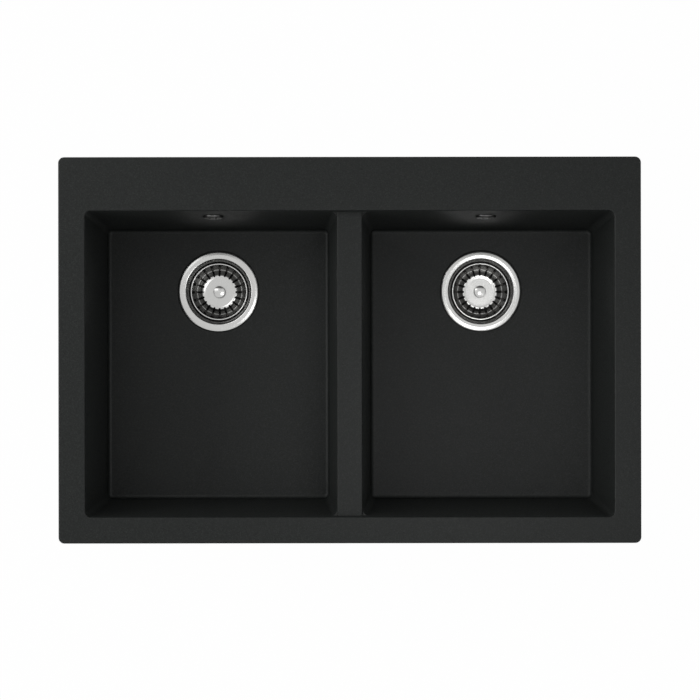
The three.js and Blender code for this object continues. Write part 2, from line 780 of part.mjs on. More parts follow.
/** Screw from the cover into the elbow's post. */
function overflowScrew() {
  const head = -coverHeight - 0.1;
  const neck = head + overflowScrewHeadRadius - overflowScrewRadius;
  return turned([
    [0, head],
    [overflowScrewHeadRadius, head],
    [overflowScrewRadius, neck],
    [overflowScrewRadius, overflowScrewEnd],
    [0, overflowScrewEnd],
  ], screwSegments);
}

/** Seal between the back of the bowl's wall and the elbow's flange. */
const overflowSeal = () =>
  ring(overflowHoleRadius + 1, elbowFlangeRadius - 1, wallThickness + seatGap, elbowFront - seatGap, ringSegments);

/** Elbow behind the wall: a flange, a chamber with the screw's post in it, and a spigot that points down. */
function overflowElbow() {
  const back = elbowFront + elbowDepth;
  const barrel = turned([
    [0, elbowFront],
    [elbowFlangeRadius, elbowFront],
    [elbowFlangeRadius, elbowFront + elbowWall],
    [elbowRadius, elbowFront + elbowWall],
    [elbowRadius, back - elbowWall],
    [elbowRadius - elbowWall, back],
    [0, back],
  ], ringSegments);
  const chamber = cylinder(elbowRadius - elbowWall, elbowFront - 1, back - elbowWall, ringSegments);
  const { tube, bore } = spigot(elbowPostRadius, elbowRadius + spigotLength, spigotHeight);
  const post = cylinder(elbowPostRadius, elbowFront, back - elbowWall / 2, smallSegments);
  const screwHole = cylinder(overflowScrewRadius + seatGap, elbowFront - 1, overflowScrewEnd + 1, screwSegments);
  return barrel.add(tube).subtract(chamber).subtract(bore).add(post).subtract(screwHole);
}

/** Corrugated hose in the plane x = 0, from the elbow's spigot down the wall and forward to the waste's spigot. */
function overflowHose() {
  const downwards = new THREE.Vector3(0, -Math.sin(wallTilt), -Math.cos(wallTilt));
  const forwards = new THREE.Vector3(0, -1, 0);
  const start = new THREE.Vector3(0, elbowRadius + spigotLength - hoseGrip, spigotHeight)
    .applyAxisAngle(new THREE.Vector3(1, 0, 0), -Math.PI / 2 - wallTilt)
    .add(new THREE.Vector3(0, overflowY, overflowZ));
  const end = new THREE.Vector3(0, drainY + chamberRadius + wasteWall + spigotLength - hoseGrip, drainTop + wasteSpigotZ);
  const corner = start.clone().addScaledVector(downwards, (start.z - end.z) / Math.cos(wallTilt));
  const turn = Math.PI / 2 - wallTilt;
  const tangent = hoseBendRadius * Math.tan(turn / 2);
  const bendStart = corner.clone().addScaledVector(downwards, -tangent);
  const bendCentre = corner.clone().addScaledVector(forwards, tangent).add(new THREE.Vector3(0, 0, hoseBendRadius));
  const fall = start.distanceTo(bendStart);
  const bend = hoseBendRadius * turn;
  const total = fall + bend + corner.y - tangent - end.y;

  // Centre, and the direction across the hose in its own plane, at a distance along it
  const station = (distance) => {
    if (distance < fall) {
      return { centre: start.clone().addScaledVector(downwards, distance), across: bendStart.clone().sub(bendCentre).normalize() };
    }
    const angle = Math.min((distance - fall) / hoseBendRadius, turn);
    const across = bendStart.clone().sub(bendCentre).normalize().applyAxisAngle(new THREE.Vector3(1, 0, 0), -angle);
    const centre = bendCentre.clone().addScaledVector(across, hoseBendRadius);
    return { centre: centre.addScaledVector(forwards, Math.max(distance - fall - bend, 0)), across };
  };
  const ringAt = (distance, radius) => {
    const { centre, across } = station(distance);
    return Array.from({ length: hoseRingPoints }, (_, i) => {
      const angle = (2 * Math.PI * (i + 0.5)) / hoseRingPoints;
      return centre.clone()
        .addScaledVector(across, radius * Math.cos(angle))
        .addScaledVector(new THREE.Vector3(1, 0, 0), radius * Math.sin(angle))
        .toArray();
    });
  };

  const ribbed = total - 2 * hoseCuffLength;
  const ribCount = Math.round(ribbed / hoseRibPitch);
  const pitch = ribbed / ribCount;
  const outside = [ringAt(0, hoseCuffRadius), ringAt(hoseCuffLength - 1, hoseCuffRadius)];
  for (let rib = 0; rib < ribCount; rib += 1) {
    outside.push(ringAt(hoseCuffLength + rib * pitch, hoseValleyRadius));
    outside.push(ringAt(hoseCuffLength + (rib + 0.5) * pitch, hoseRibRadius));
  }
  outside.push(ringAt(total - hoseCuffLength, hoseValleyRadius));
  outside.push(ringAt(total - hoseCuffLength + 1, hoseCuffRadius), ringAt(total, hoseCuffRadius));
  const bore = [ringAt(total, hoseBoreRadius), ringAt(total - hoseCuffLength, hoseBoreRadius)];
  for (let rib = ribCount - boreRingEvery; rib > 0; rib -= boreRingEvery) {
    bore.push(ringAt(hoseCuffLength + rib * pitch, hoseBoreRadius));
  }
  bore.push(ringAt(hoseCuffLength, hoseBoreRadius), ringAt(0, hoseBoreRadius));
  return loopOfRings([...outside, ...bore]);
}

// ---------------------------------------------------------------------------------------------------------------
// Worktop clips, about the screw's axis and from the boss's lower face, with +X along the clip
// ---------------------------------------------------------------------------------------------------------------

/** Clip: a strip with a round heel about its screw, and a toe that is bent up to bite the worktop's underside. */
function clip() {
  const half = clipWidth / 2;
  const top = -seatGap;
  const bottom = top - clipSheet;
  const outline = [[clipReach, -half], [clipReach, half], ...arc(0, 0, half, 90, 270, 3)];
  const toe = block([clipReach - clipSheet, -half, bottom], [clipReach, half, top + clipToeHeight]);
  const hole = cylinder(clipScrewRadius + seatGap, bottom - 1, top + 1, screwSegments);
  return prism(outline, bottom, top).add(toe).subtract(hole);
}

/** Pan-head screw of a clip, from below the clip up into the boss. */
function clipScrew() {
  const head = -2 * seatGap - clipSheet;
  const bottom = head - clipScrewHeadHeight;
  return turned([
    [0, bottom],
    [clipScrewHeadRadius - 1.2, bottom],
    [clipScrewHeadRadius, bottom + 1.2],
    [clipScrewHeadRadius, head],
    [clipScrewRadius, head],
    [clipScrewRadius, clipScrewDepth - 1],
    [0, clipScrewDepth - 1],
  ], screwSegments);
}

// ---------------------------------------------------------------------------------------------------------------
// Assembly
// ---------------------------------------------------------------------------------------------------------------

/** Named piece in its group. */
function piece(name, body, material) {
  const mesh = new THREE.Mesh(geometryOf(body), material);
  mesh.name = name;
  return mesh;
}

/** Group at a place, with its pieces in it. */
function group(place, pieces) {
  const holder = new THREE.Group();
  holder.position.set(...place);
  holder.add(...pieces);
  return holder;
}

/** Everything that belongs to one bowl's drain. */
const drainPieces = (side) => [
  piece(`${side}_strainer_cup`, strainerCup(), steel),
  piece(`${side}_flange_seal`, flangeSeal(), rubber),
  piece(`${side}_basket`, basket(), steel),
  piece(`${side}_basket_knob`, knob(), steel),
  piece(`${side}_basket_stem`, stem(), steel),
  piece(`${side}_basket_stopper`, stopper(), rubber),
  piece(`${side}_clamp_screw`, clampScrew(), steel),
  piece(`${side}_waste_seal`, wasteSeal(), rubber),
  piece(`${side}_waste_body`, wasteBody(), blackPlastic),
  piece(`${side}_waste_outlet`, wasteOutlet(), blackPlastic),
];

/** Everything that is screwed to one bowl's rear wall. */
const overflowPieces = (side) => [
  piece(`${side}_overflow_cover`, overflowCover(), steel),
  piece(`${side}_overflow_screw`, overflowScrew(), steel),
  piece(`${side}_overflow_seal`, overflowSeal(), rubber),
  piece(`${side}_overflow_elbow`, overflowElbow(), blackPlastic),
];

const sink = new THREE.Group();
sink.add(piece('sink_body', bowlUnit(), granite));
for (const { name, x } of bowlSides) {
  const overflow = group([x, overflowY, overflowZ], overflowPieces(name));
  overflow.rotation.x = -Math.PI / 2 - wallTilt;
  sink.add(group([x, drainY, drainTop], drainPieces(name)), overflow);
  sink.add(group([x, 0, 0], [piece(`${name}_overflow_hose`, overflowHose(), greyPlastic)]));
}
for (const { name, x, y, parked } of clipPlaces()) {
  const strip = group([0, 0, 0], [piece(`clip_${name}`, clip(), zinc)]);
  strip.rotation.z = radians(parked);
  sink.add(group([x, y, -clipBossDrop], [strip, piece(`clip_screw_${name}`, clipScrew(), zinc)]));
}

export default sink;
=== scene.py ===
"""Double bowl kitchen sink in black stone composite, with its strainers, wastes, overflows and worktop clips.

Sizes are millimetres until a mesh is made, and metres from there on. The rim's underside is z = 0, +Y points to the
tap ledge at the back, and the origin is the centre of the rim's outline.
"""

from __future__ import annotations

import logging
import math
from collections.abc import Iterable, Sequence
from dataclasses import dataclass, field
from enum import Enum

import bmesh
import bpy
from mathutils import Matrix, Vector

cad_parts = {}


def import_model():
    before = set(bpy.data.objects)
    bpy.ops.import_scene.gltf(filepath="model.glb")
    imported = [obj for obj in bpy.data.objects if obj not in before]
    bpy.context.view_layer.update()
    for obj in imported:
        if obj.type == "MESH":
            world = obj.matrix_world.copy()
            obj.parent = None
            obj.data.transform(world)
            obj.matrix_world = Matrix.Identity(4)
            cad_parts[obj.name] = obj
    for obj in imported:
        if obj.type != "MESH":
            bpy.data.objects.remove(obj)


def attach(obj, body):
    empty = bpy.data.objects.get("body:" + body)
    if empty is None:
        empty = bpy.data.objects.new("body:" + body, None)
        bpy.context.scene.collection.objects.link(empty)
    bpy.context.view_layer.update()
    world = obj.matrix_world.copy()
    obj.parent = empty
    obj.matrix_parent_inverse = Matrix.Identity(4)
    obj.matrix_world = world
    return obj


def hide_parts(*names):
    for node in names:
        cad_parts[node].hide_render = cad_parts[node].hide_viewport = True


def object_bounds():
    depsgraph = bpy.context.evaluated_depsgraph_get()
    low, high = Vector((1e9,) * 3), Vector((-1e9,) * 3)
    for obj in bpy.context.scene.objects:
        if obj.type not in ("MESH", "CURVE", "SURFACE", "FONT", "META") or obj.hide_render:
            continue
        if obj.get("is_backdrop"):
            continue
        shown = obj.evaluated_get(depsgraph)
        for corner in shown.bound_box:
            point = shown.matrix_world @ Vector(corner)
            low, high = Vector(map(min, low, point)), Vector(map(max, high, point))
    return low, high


LOG = logging.getLogger("sink")
MM = 0.001
MERGED = 1e-6  # metres under which points count as one
ON_AXIS = 1e-6  # millimetres under which a radius counts as none
STRAIGHT = math.pi - 0.01  # angle over which a corner counts as straight
BEVEL_STEPS = 2
BEVEL_ANGLE = 40.0  # degrees over which an edge is rounded
WHITE = (1.0, 1.0, 1.0, 1.0)
QUARTERS = ((1, 1), (-1, 1), (-1, -1), (1, -1))  # signs of x and y round the four quarters

Pair = tuple[float, float]
Place = tuple[float, float, float]
Color = tuple[float, float, float]


class Slot(Enum):
    """Material slots of the record."""

    GRANITE = "granite"
    STEEL = "steel"
    ZINC = "zinc"
    RUBBER = "rubber"
    BLACK_PLASTIC = "black_plastic"
    GREY_PLASTIC = "grey_plastic"


class Side(Enum):
    """The two bowls."""

    LEFT = -1
    RIGHT = 1

    @property
    def label(self) -> str:
        """Name of the side in a piece's name."""
        return self.name.lower()


class Carve(Enum):
    """What a boolean does with its tools."""

    CUT = "DIFFERENCE"
    JOIN = "UNION"
    KEEP = "INTERSECT"


# ---------------------------------------------------------------------------------------------------------------
# Profiles and rings
# ---------------------------------------------------------------------------------------------------------------


def smooth(share: float) -> float:
    """Share of a rise that starts and ends level."""
    return share * share * (3 - 2 * share)


def arc(centre_u: float, centre_v: float, radius: float, start: float, end: float, steps: int) -> list[Pair]:
    """Points of an arc in a profile plane.

    Args:
        centre_u: first coordinate of the centre.
        centre_v: second coordinate of the centre.
        radius: radius of the arc.
        start: first angle, in degrees.
        end: last angle, in degrees.
        steps: number of chords.

    Returns:
        steps + 1 points.
    """
    angles = [math.radians(start + (end - start) * i / steps) for i in range(steps + 1)]
    return [(centre_u + radius * math.cos(a), centre_v + radius * math.sin(a)) for a in angles]


def eased(corners: Sequence[tuple[float, ...]], steps: int = 4, closed: bool = True) -> list[Pair]:
    """Profile with an arc in each corner.

    Args:
        corners: points (u, v) or (u, v, radius); a corner with no radius stays sharp.
        steps: chords in each arc.
        closed: whether the last corner joins the first.

    Returns:
        the points of the eased profile.
    """
    count = len(corners)
    points: list[Pair] = []
    for i, corner in enumerate(corners):
        here = Vector(corner[:2])
        radius = corner[2] if len(corner) > 2 else 0.0
        if radius <= 0 or (not closed and i in (0, count - 1)):
            points.append((here.x, here.y))
            continue
        before = Vector(corners[i - 1][:2]) - here
        after = Vector(corners[(i + 1) % count][:2]) - here
        angle = before.angle(after)
        if angle > STRAIGHT:
            points.append((here.x, here.y))
            continue
        reach = min(radius / math.tan(angle / 2), 0.49 * before.length, 0.49 * after.length)
        first = here + before.normalized() * reach
        last = here + after.normalized() * reach
        for step in range(steps + 1):
            t = step / steps
            bent = first * (1 - t) ** 2 + here * 2 * t * (1 - t) + last * t ** 2
            points.append((bent.x, bent.y))
    return points


def rounded_ring(x: float, y: float, z: float, half_width: float, half_length: float, radius: float,
                 corner_steps: int, side_steps: int = 1) -> list[Place]:
    """Ring of points round a rectangle with round corners, anticlockwise from the middle of its right side's end.

    Args:
        x: centre across the sink.
        y: centre along the sink.
        z: height.
        half_width: half of the size along X.
        half_length: half of the size along Y.
        radius: radius of the corners.
        corner_steps: chords in each corner.
        side_steps: chords along each straight side.

    Returns:
        4 * (corner_steps + side_steps) points.
    """
    points: list[Place] = []
    for corner, (sign_x, sign_y) in enumerate(QUARTERS):
        centre = (x + sign_x * (half_width - radius), y + sign_y * (half_length - radius))
        points += [(u, v, z) for u, v in arc(*centre, radius, 90 * corner, 90 * corner + 90, corner_steps)]
        following = QUARTERS[(corner + 1) % 4]
        angle = math.radians(90 * corner + 90)
        goal = Vector((x + following[0] * (half_width - radius) + radius * math.cos(angle),
                       y + following[1] * (half_length - radius) + radius * math.sin(angle), z))
        start = Vector(points[-1])
        points += [tuple(start.lerp(goal, step / side_steps)) for step in range(1, side_steps)]
    return points


# ---------------------------------------------------------------------------------------------------------------
# Meshes
# ---------------------------------------------------------------------------------------------------------------


def linked(name: str, data: bpy.types.ID) -> bpy.types.Object:
    """Object in the scene that shows a mesh, a lamp or a camera."""
    thing = bpy.data.objects.new(name, data)
    bpy.context.scene.collection.objects.link(thing)
    return thing


@dataclass
class Form:
    """Closed shape of points in millimetres and the faces over them."""

    points: list[Place]
    faces: list[tuple[int, ...]]

    @classmethod
    def loft(cls, rings: Sequence[Sequence[Place]], closed: bool = False) -> Form:
        """Shape through rings of equal length.

        Args:
            rings: rings of points, in order.
            closed: whether the last ring joins the first, as a tube's bore does; the ends are capped otherwise.

        Returns:
            the shape.
        """
        count = len(rings[0])
        faces: list[tuple[int, ...]] = []
        for level in range(len(rings) if closed else len(rings) - 1):
            following = (level + 1) % len(rings)
            for i in range(count):
                j = (i + 1) % count
                faces.append((level * count + i, level * count + j, following * count + j, following * count + i))
        if not closed:
            last = (len(rings) - 1) * count
            faces.append(tuple(reversed(range(count))))
            faces.append(tuple(last + i for i in range(count)))
        return cls([tuple(point) for ring in rings for point in ring], faces)

    @classmethod
    def turned(cls, profile: Sequence[Pair], segments: int, turn: float = 0.0) -> Form:
        """Shape turned about Z.

        Args:
            profile: points (radius, height); it closes on itself, or starts and ends on the axis.
            segments: facets round the axis.
            turn: angle of the first facet's edge, in degrees.

        Returns:
            the shape.
        """
        on_axis = profile[0][0] < ON_AXIS
        points: list[Place] = []
        rows: list[list[int]] = []
        for radius, height in profile:
            if radius < ON_AXIS:
                rows.append([len(points)] * segments)
                points.append((0.0, 0.0, height))
                continue
            rows.append(list(range(len(points), len(points) + segments)))
            angles = [math.radians(turn) + 2 * math.pi * i / segments for i in range(segments)]
            points += [(radius * math.cos(a), radius * math.sin(a), height) for a in angles]
        faces: list[tuple[int, ...]] = []
        for level in range(len(rows) - 1 if on_axis else len(rows)):
            low, high = rows[level], rows[(level + 1) % len(rows)]
            for i in range(segments):
                j = (i + 1) % segments
                loop = tuple(dict.fromkeys((low[i], low[j], high[j], high[i])))
                if len(loop) > 2:
                    faces.append(loop)
        return cls(points, faces)

    @classmethod
    def prism(cls, outline: Sequence[Pair], bottom: float, top: float) -> Form:
        """Upright prism over an outline."""
        return cls.loft([[(u, v, z) for u, v in outline] for z in (bottom, top)])

    @classmethod
    def block(cls, low: Place, high: Place) -> Form:
        """Block between two corners."""
        outline = [(low[0], low[1]), (high[0], low[1]), (high[0], high[1]), (low[0], high[1])]
        return cls.prism(outline, low[2], high[2])

    @classmethod
    def cylinder(cls, radius: float, bottom: float, top: float, segments: int) -> Form:
        """Cylinder about Z between two heights."""
        return cls.turned([(0, bottom), (radius, bottom), (radius, top), (0, top)], segments)

    def moved(self, matrix: Matrix) -> Form:
        """The shape at another place."""
        return Form([tuple(matrix @ Vector(point)) for point in self.points], self.faces)

    def shifted(self, x: float = 0.0, y: float = 0.0, z: float = 0.0) -> Form:
        """The shape moved along the axes."""
        return self.moved(Matrix.Translation((x, y, z)))

    def spun(self, degrees: float, axis: str = "Z") -> Form:
        """The shape turned about an axis through the origin."""
        return self.moved(Matrix.Rotation(math.radians(degrees), 4, axis))

    def thing(self, name: str) -> bpy.types.Object:
        """Object in the scene with this shape, in metres, its faces pointing out."""
        mesh = bpy.data.meshes.new(name)
        mesh.from_pydata([[value * MM for value in point] for point in self.points], [], self.faces)
        with Edited(mesh) as work:
            bmesh.ops.recalc_face_normals(work, faces=work.faces)
        return linked(name, mesh)


class Edited:
    """A mesh opened for editing; it is written back at the end of the with block."""

    def __init__(self, mesh: bpy.types.Mesh) -> None:
        """Keeps the mesh that is edited."""
        self.mesh = mesh
        self.work = bmesh.new()

    def __enter__(self) -> bmesh.types.BMesh:
        """Opens the mesh."""
        self.work.from_mesh(self.mesh)
        return self.work

    def __exit__(self, *_: object) -> None:
        """Writes the mesh back."""
        self.work.to_mesh(self.mesh)
        self.work.free()


def settle(thing: bpy.types.Object) -> bpy.types.Object:
    """Turns an object's modifiers into its mesh.

    Args:
        thing: object with modifiers.

    Returns:
        the same object, with the result as its mesh and no modifiers.
    """
    graph = bpy.context.evaluated_depsgraph_get()
    graph.update()
    mesh = bpy.data.meshes.new_from_object(thing.evaluated_get(graph), depsgraph=graph)
    old = thing.data
    thing.modifiers.clear()
    thing.data = mesh
    mesh.name = thing.name
    bpy.data.meshes.remove(old)
    return thing


def weld(thing: bpy.types.Object) -> bpy.types.Object:
    """Merges the points of a mesh that lie on one another, and points its faces out."""
    with Edited(thing.data) as work:
        bmesh.ops.remove_doubles(work, verts=work.verts, dist=MERGED)
        bmesh.ops.recalc_face_normals(work, faces=work.faces)
    return thing


def discard(thing: bpy.types.Object) -> None:
    """Removes an object and its mesh."""
    mesh = thing.data
    bpy.data.objects.remove(thing)
    bpy.data.meshes.remove(mesh)


def carve(thing: bpy.types.Object, tools: Iterable[Form | bpy.types.Object], kind: Carve = Carve.CUT) -> None:
    """Cuts, joins or intersects an object with tools, one after another.

    Args:
        thing: object that is changed.
        tools: shapes or objects, which are used up.
        kind: what is done with each.
    """
    for tool in tools:
        other = tool.thing(f"{thing.name}_tool") if isinstance(tool, Form) else tool
        step = thing.modifiers.new("carve", "BOOLEAN")
        step.operation = kind.value
        step.solver = "MANIFOLD"
        step.object = other
        settle(thing)
        discard(other)


def finish(thing: bpy.types.Object, bevel: float = 0.0, sharp: float = 38.0) -> bpy.types.Object:
    """Rounds an object's edges and shades it.

    Args:
        thing: object to finish.
        bevel: width of the edges' rounding, in millimetres.
        sharp: angle over which an edge stays sharp, in degrees.

    Returns:
        the object.
    """
    with Edited(thing.data) as work:
        bmesh.ops.remove_doubles(work, verts=work.verts, dist=0.1 * MERGED)
        bmesh.ops.dissolve_degenerate(work, edges=work.edges, dist=MERGED)
        bmesh.ops.recalc_face_normals(work, faces=work.faces)
    if bevel:
        step = thing.modifiers.new("edges", "BEVEL")
        step.width = bevel * MM
        step.segments = BEVEL_STEPS
        step.limit_method = "ANGLE"
        step.angle_limit = math.radians(BEVEL_ANGLE)
        step.use_clamp_overlap = True
        settle(thing)
    thing.data.polygons.foreach_set("use_smooth", [True] * len(thing.data.polygons))
    thing.data.set_sharp_from_angle(angle=math.radians(sharp))
    weight = thing.modifiers.new("shade", "WEIGHTED_NORMAL")
    weight.keep_sharp = True
    return settle(thing)


# ---------------------------------------------------------------------------------------------------------------
# Geometry Nodes
# ---------------------------------------------------------------------------------------------------------------


class Tree:
    """Node tree, whose nodes are added with their settings and inputs."""

    prefix = "ShaderNode"

    def __init__(self, tree: bpy.types.NodeTree) -> None:
        """Keeps the tree."""
        self.tree = tree

    def node(self, kind: str, settings: dict[str, object] | None = None,
             inputs: dict[str | int, object] | None = None) -> bpy.types.Node:
        """Adds a node.

        Args:
            kind: type of the node; the tree's prefix may be left out.
            settings: properties of the node, which are set first.
            inputs: values, sockets or numbers in a shader, by the name or place of the input.

        Returns:
            the node.
        """
        known = kind if kind.startswith("ShaderNode") else f"{self.prefix}{kind}"
        made = self.tree.nodes.new(known)
        for label, value in (settings or {}).items():
            setattr(made, label, value)
        for label, value in (inputs or {}).items():
            if isinstance(value, Value):
                value = value.socket
            if isinstance(value, bpy.types.NodeSocket):
                self.tree.links.new(value, made.inputs[label])
            else:
                made.inputs[label].default_value = value
        return made


class Pattern(Tree):
    """Geometry Nodes tree with named inputs, which ends in Realize Instances and Set Material."""

    prefix = "GeometryNode"

    def __init__(self, name: str, **sizes: float | int) -> None:
        """Makes the tree and its inputs.

        Args:
            name: name of the tree.
            sizes: inputs and their defaults; a whole number makes an integer input.
        """
        super().__init__(bpy.data.node_groups.new(name, "GeometryNodeTree"))
        self.identifiers: dict[str, str] = {}
        face = self.tree.interface
        face.new_socket("Geometry", in_out="INPUT", socket_type="NodeSocketGeometry")
        for label, value in sizes.items():
            kind = "NodeSocketInt" if isinstance(value, int) else "NodeSocketFloat"
            socket = face.new_socket(label, in_out="INPUT", socket_type=kind)
            socket.default_value = value
            self.identifiers[label] = socket.identifier
        socket = face.new_socket("Finish", in_out="INPUT", socket_type="NodeSocketMaterial")
        self.identifiers["Finish"] = socket.identifier
        face.new_socket("Geometry", in_out="OUTPUT", socket_type="NodeSocketGeometry")
        self.given = self.tree.nodes.new("NodeGroupInput")
        self.result = self.tree.nodes.new("NodeGroupOutput")

    def size(self, label: str) -> bpy.types.NodeSocket:
        """Socket of a named input."""
        return self.given.outputs[label]

    def math(self, operation: str, first: object, second: object = 0.0) -> bpy.types.NodeSocket:
        """Result of a Math node."""
        return self.node("ShaderNodeMath", {"operation": operation}, {0: first, 1: second}).outputs[0]

    def vector(self, x: object = 0.0, y: object = 0.0, z: object = 0.0) -> bpy.types.NodeSocket:
        """Vector from three values."""
        return self.node("ShaderNodeCombineXYZ", None, {0: x, 1: y, 2: z}).outputs[0]

    def close(self, geometry: bpy.types.NodeSocket) -> None:
        """Ends the tree."""
        real = self.node("RealizeInstances", None, {"Geometry": geometry})
        dressed = self.node("SetMaterial", None, {"Geometry": real.outputs[0], "Material": self.size("Finish")})
        self.tree.links.new(dressed.outputs[0], self.result.inputs[0])

    def run(self, thing: bpy.types.Object, material: bpy.types.Material | None = None,
            **sizes: float | int) -> bpy.types.Object:
        """Makes the pattern on an object and keeps the result as its mesh.

        Args:
            thing: object whose mesh goes into the tree.
            material: finish of the result.
            sizes: values of the named inputs.

        Returns:
            the object.
        """
        step = thing.modifiers.new(self.tree.name, "NODES")
        step.node_group = self.tree
        for label, value in sizes.items():
            step[self.identifiers[label]] = value
        if material:
            step[self.identifiers["Finish"]] = material
        return settle(thing)


class RadialSlots(Pattern):
    """Round-ended slots, as solid cutters, spaced evenly about Z."""

    def __init__(self) -> None:
        """Builds the tree: one slot's outline swept upwards, and placed round a circle."""
        super().__init__("Radial slots", Count=20, Width=2.9 * MM, Inner=23.4 * MM, Outer=36.4 * MM,
                         Bottom=-40 * MM, Top=-12 * MM)
        length = self.math("SUBTRACT", self.size("Outer"), self.size("Inner"))
        half = self.math("MULTIPLY", self.size("Width"), 0.5)
        middle = self.math("MULTIPLY", self.math("ADD", self.size("Outer"), self.size("Inner")), 0.5)
        outline = self.node("CurvePrimitiveQuadrilateral", None, {"Width": length, "Height": self.size("Width")})
        fillet = self.node("FilletCurve", {"mode": "POLY"},
                           {"Curve": outline.outputs[0], "Count": 6, "Radius": self.math("MULTIPLY", half, 0.999)})
        path = self.node("CurvePrimitiveLine", None, {
            "Start": self.vector(0.0, 0.0, self.size("Bottom")), "End": self.vector(0.0, 0.0, self.size("Top"))})
        swept = self.node("CurveToMesh", None, {
            "Curve": path.outputs[0], "Profile Curve": fillet.outputs[0], "Fill Caps": True})
        circle = self.node("MeshCircle", None, {"Vertices": self.size("Count"), "Radius": middle})
        index = self.node("InputIndex").outputs[0]
        pitch = self.math("DIVIDE", 2 * math.pi, self.size("Count"))
        heading = self.math("MULTIPLY", index, pitch)
        placed = self.node("InstanceOnPoints", None, {
            "Points": circle.outputs[0], "Instance": swept.outputs[0], "Rotation": self.vector(0.0, 0.0, heading)})
        self.close(placed.outputs[0])

    def cutter(self, count: int, width: float, inner: float, outer: float, bottom: float,
               top: float) -> bpy.types.Object:
        """Cutter with all the slots.

        Args:
            count: number of slots.
            width: width of a slot.
            inner: radius where a slot starts.
            outer: radius where it ends.
            bottom: lower end of the cutter.
            top: upper end of the cutter.

        Returns:
            the cutter.
        """
        empty = linked("slots", bpy.data.meshes.new("slots"))
        return weld(self.run(empty, None, Count=count, Width=width * MM, Inner=inner * MM, Outer=outer * MM,
                             Bottom=bottom * MM, Top=top * MM))


class RibbedTube(Pattern):
    """Tube along a path of points, with plain cuffs and ribs between them."""

    def __init__(self) -> None:
        """Builds the tree: the path is cut in even steps and its radius follows the length."""
        super().__init__("Ribbed tube", Step=0.5 * MM, Cuff=24.0 * MM, Pitch=6.0 * MM, Rib=11.9 * MM,
                         Valley=10.2 * MM, Plain=11.0 * MM, Sides=48)
        curve = self.node("MeshToCurve", None, {"Mesh": self.given.outputs[0]})
        even = self.node("ResampleCurve", {"mode": "LENGTH"},
                         {"Curve": curve.outputs[0], "Length": self.size("Step")})
        along = self.node("SplineParameter").outputs["Length"]
        total = self.node("SplineLength").outputs["Length"]
        ribbed = self.math("SUBTRACT", total, self.math("MULTIPLY", self.size("Cuff"), 2.0))
        count = self.math("ROUND", self.math("DIVIDE", ribbed, self.size("Pitch")))
        inward = self.math("SUBTRACT", along, self.size("Cuff"))
        phase = self.math("MULTIPLY", self.math("DIVIDE", inward, ribbed), self.math("MULTIPLY", count, 2 * math.pi))
        wave = self.math("MULTIPLY", self.math("SUBTRACT", 1.0, self.math("COSINE", phase)), 0.5)
        crest = self.math("POWER", wave, 0.7)
        swing = self.math("MULTIPLY", crest, self.math("SUBTRACT", self.size("Rib"), self.size("Valley")))
        rib = self.math("ADD", self.size("Valley"), swing)
        inside = self.math("MULTIPLY", self.math("GREATER_THAN", inward, 0.0),
                           self.math("LESS_THAN", inward, ribbed))
        plain = self.math("MULTIPLY", self.size("Plain"), self.math("SUBTRACT", 1.0, inside))
        radius = self.math("ADD", plain, self.math("MULTIPLY", rib, inside))
        circle = self.node("CurvePrimitiveCircle", None, {"Resolution": self.size("Sides"), "Radius": 1.0})
        tube = self.node("CurveToMesh", None, {
            "Curve": even.outputs[0], "Profile Curve": circle.outputs[0], "Scale": radius})
        self.close(tube.outputs[0])


# ---------------------------------------------------------------------------------------------------------------
# Shaders
# ---------------------------------------------------------------------------------------------------------------


class Value:
    """Number in a shader. Each operator on it adds its Math node."""

    def __init__(self, graph: Graph, socket: bpy.types.NodeSocket) -> None:
        """Keeps the graph and the socket that holds the number."""
        self.graph = graph
        self.socket = socket

    def math(self, operation: str, *others: Value | float, first: Value | float | None = None) -> Value:
        """Result of a Math node.

        Args:
            operation: operation of the node.
            others: what follows this value.
            first: what stands before this value, in place of it.

        Returns:
            the result.
        """
        terms = [self, *others] if first is None else [first, self, *others]
        return self.graph.math(operation, *terms)

    def __add__(self, other: Value | float) -> Value:
        """Sum."""
        return self.math("ADD", other)

    __radd__ = __add__

    def __sub__(self, other: Value | float) -> Value:
        """Difference."""
        return self.math("SUBTRACT", other)

    def __rsub__(self, other: float) -> Value:
        """Difference from a number."""
        return self.math("SUBTRACT", first=other)

    def __mul__(self, other: Value | float) -> Value:
        """Product."""
        return self.math("MULTIPLY", other)

    __rmul__ = __mul__

    def __truediv__(self, other: Value | float) -> Value:
        """Quotient."""
        return self.math("DIVIDE", other)

    def __rtruediv__(self, other: float) -> Value:
        """Quotient of a number."""
        return self.math("DIVIDE", first=other)

    def __pow__(self, other: Value | float) -> Value:
        """Power."""
        return self.math("POWER", other)

    def above(self, edge: float, blur: float) -> Value:
        """1 where the value is over an edge and 0 under it, with a soft step."""
        return self.graph.math("MINIMUM", self.graph.math("MAXIMUM", (self - edge) / blur + 0.5, 0.0), 1.0)


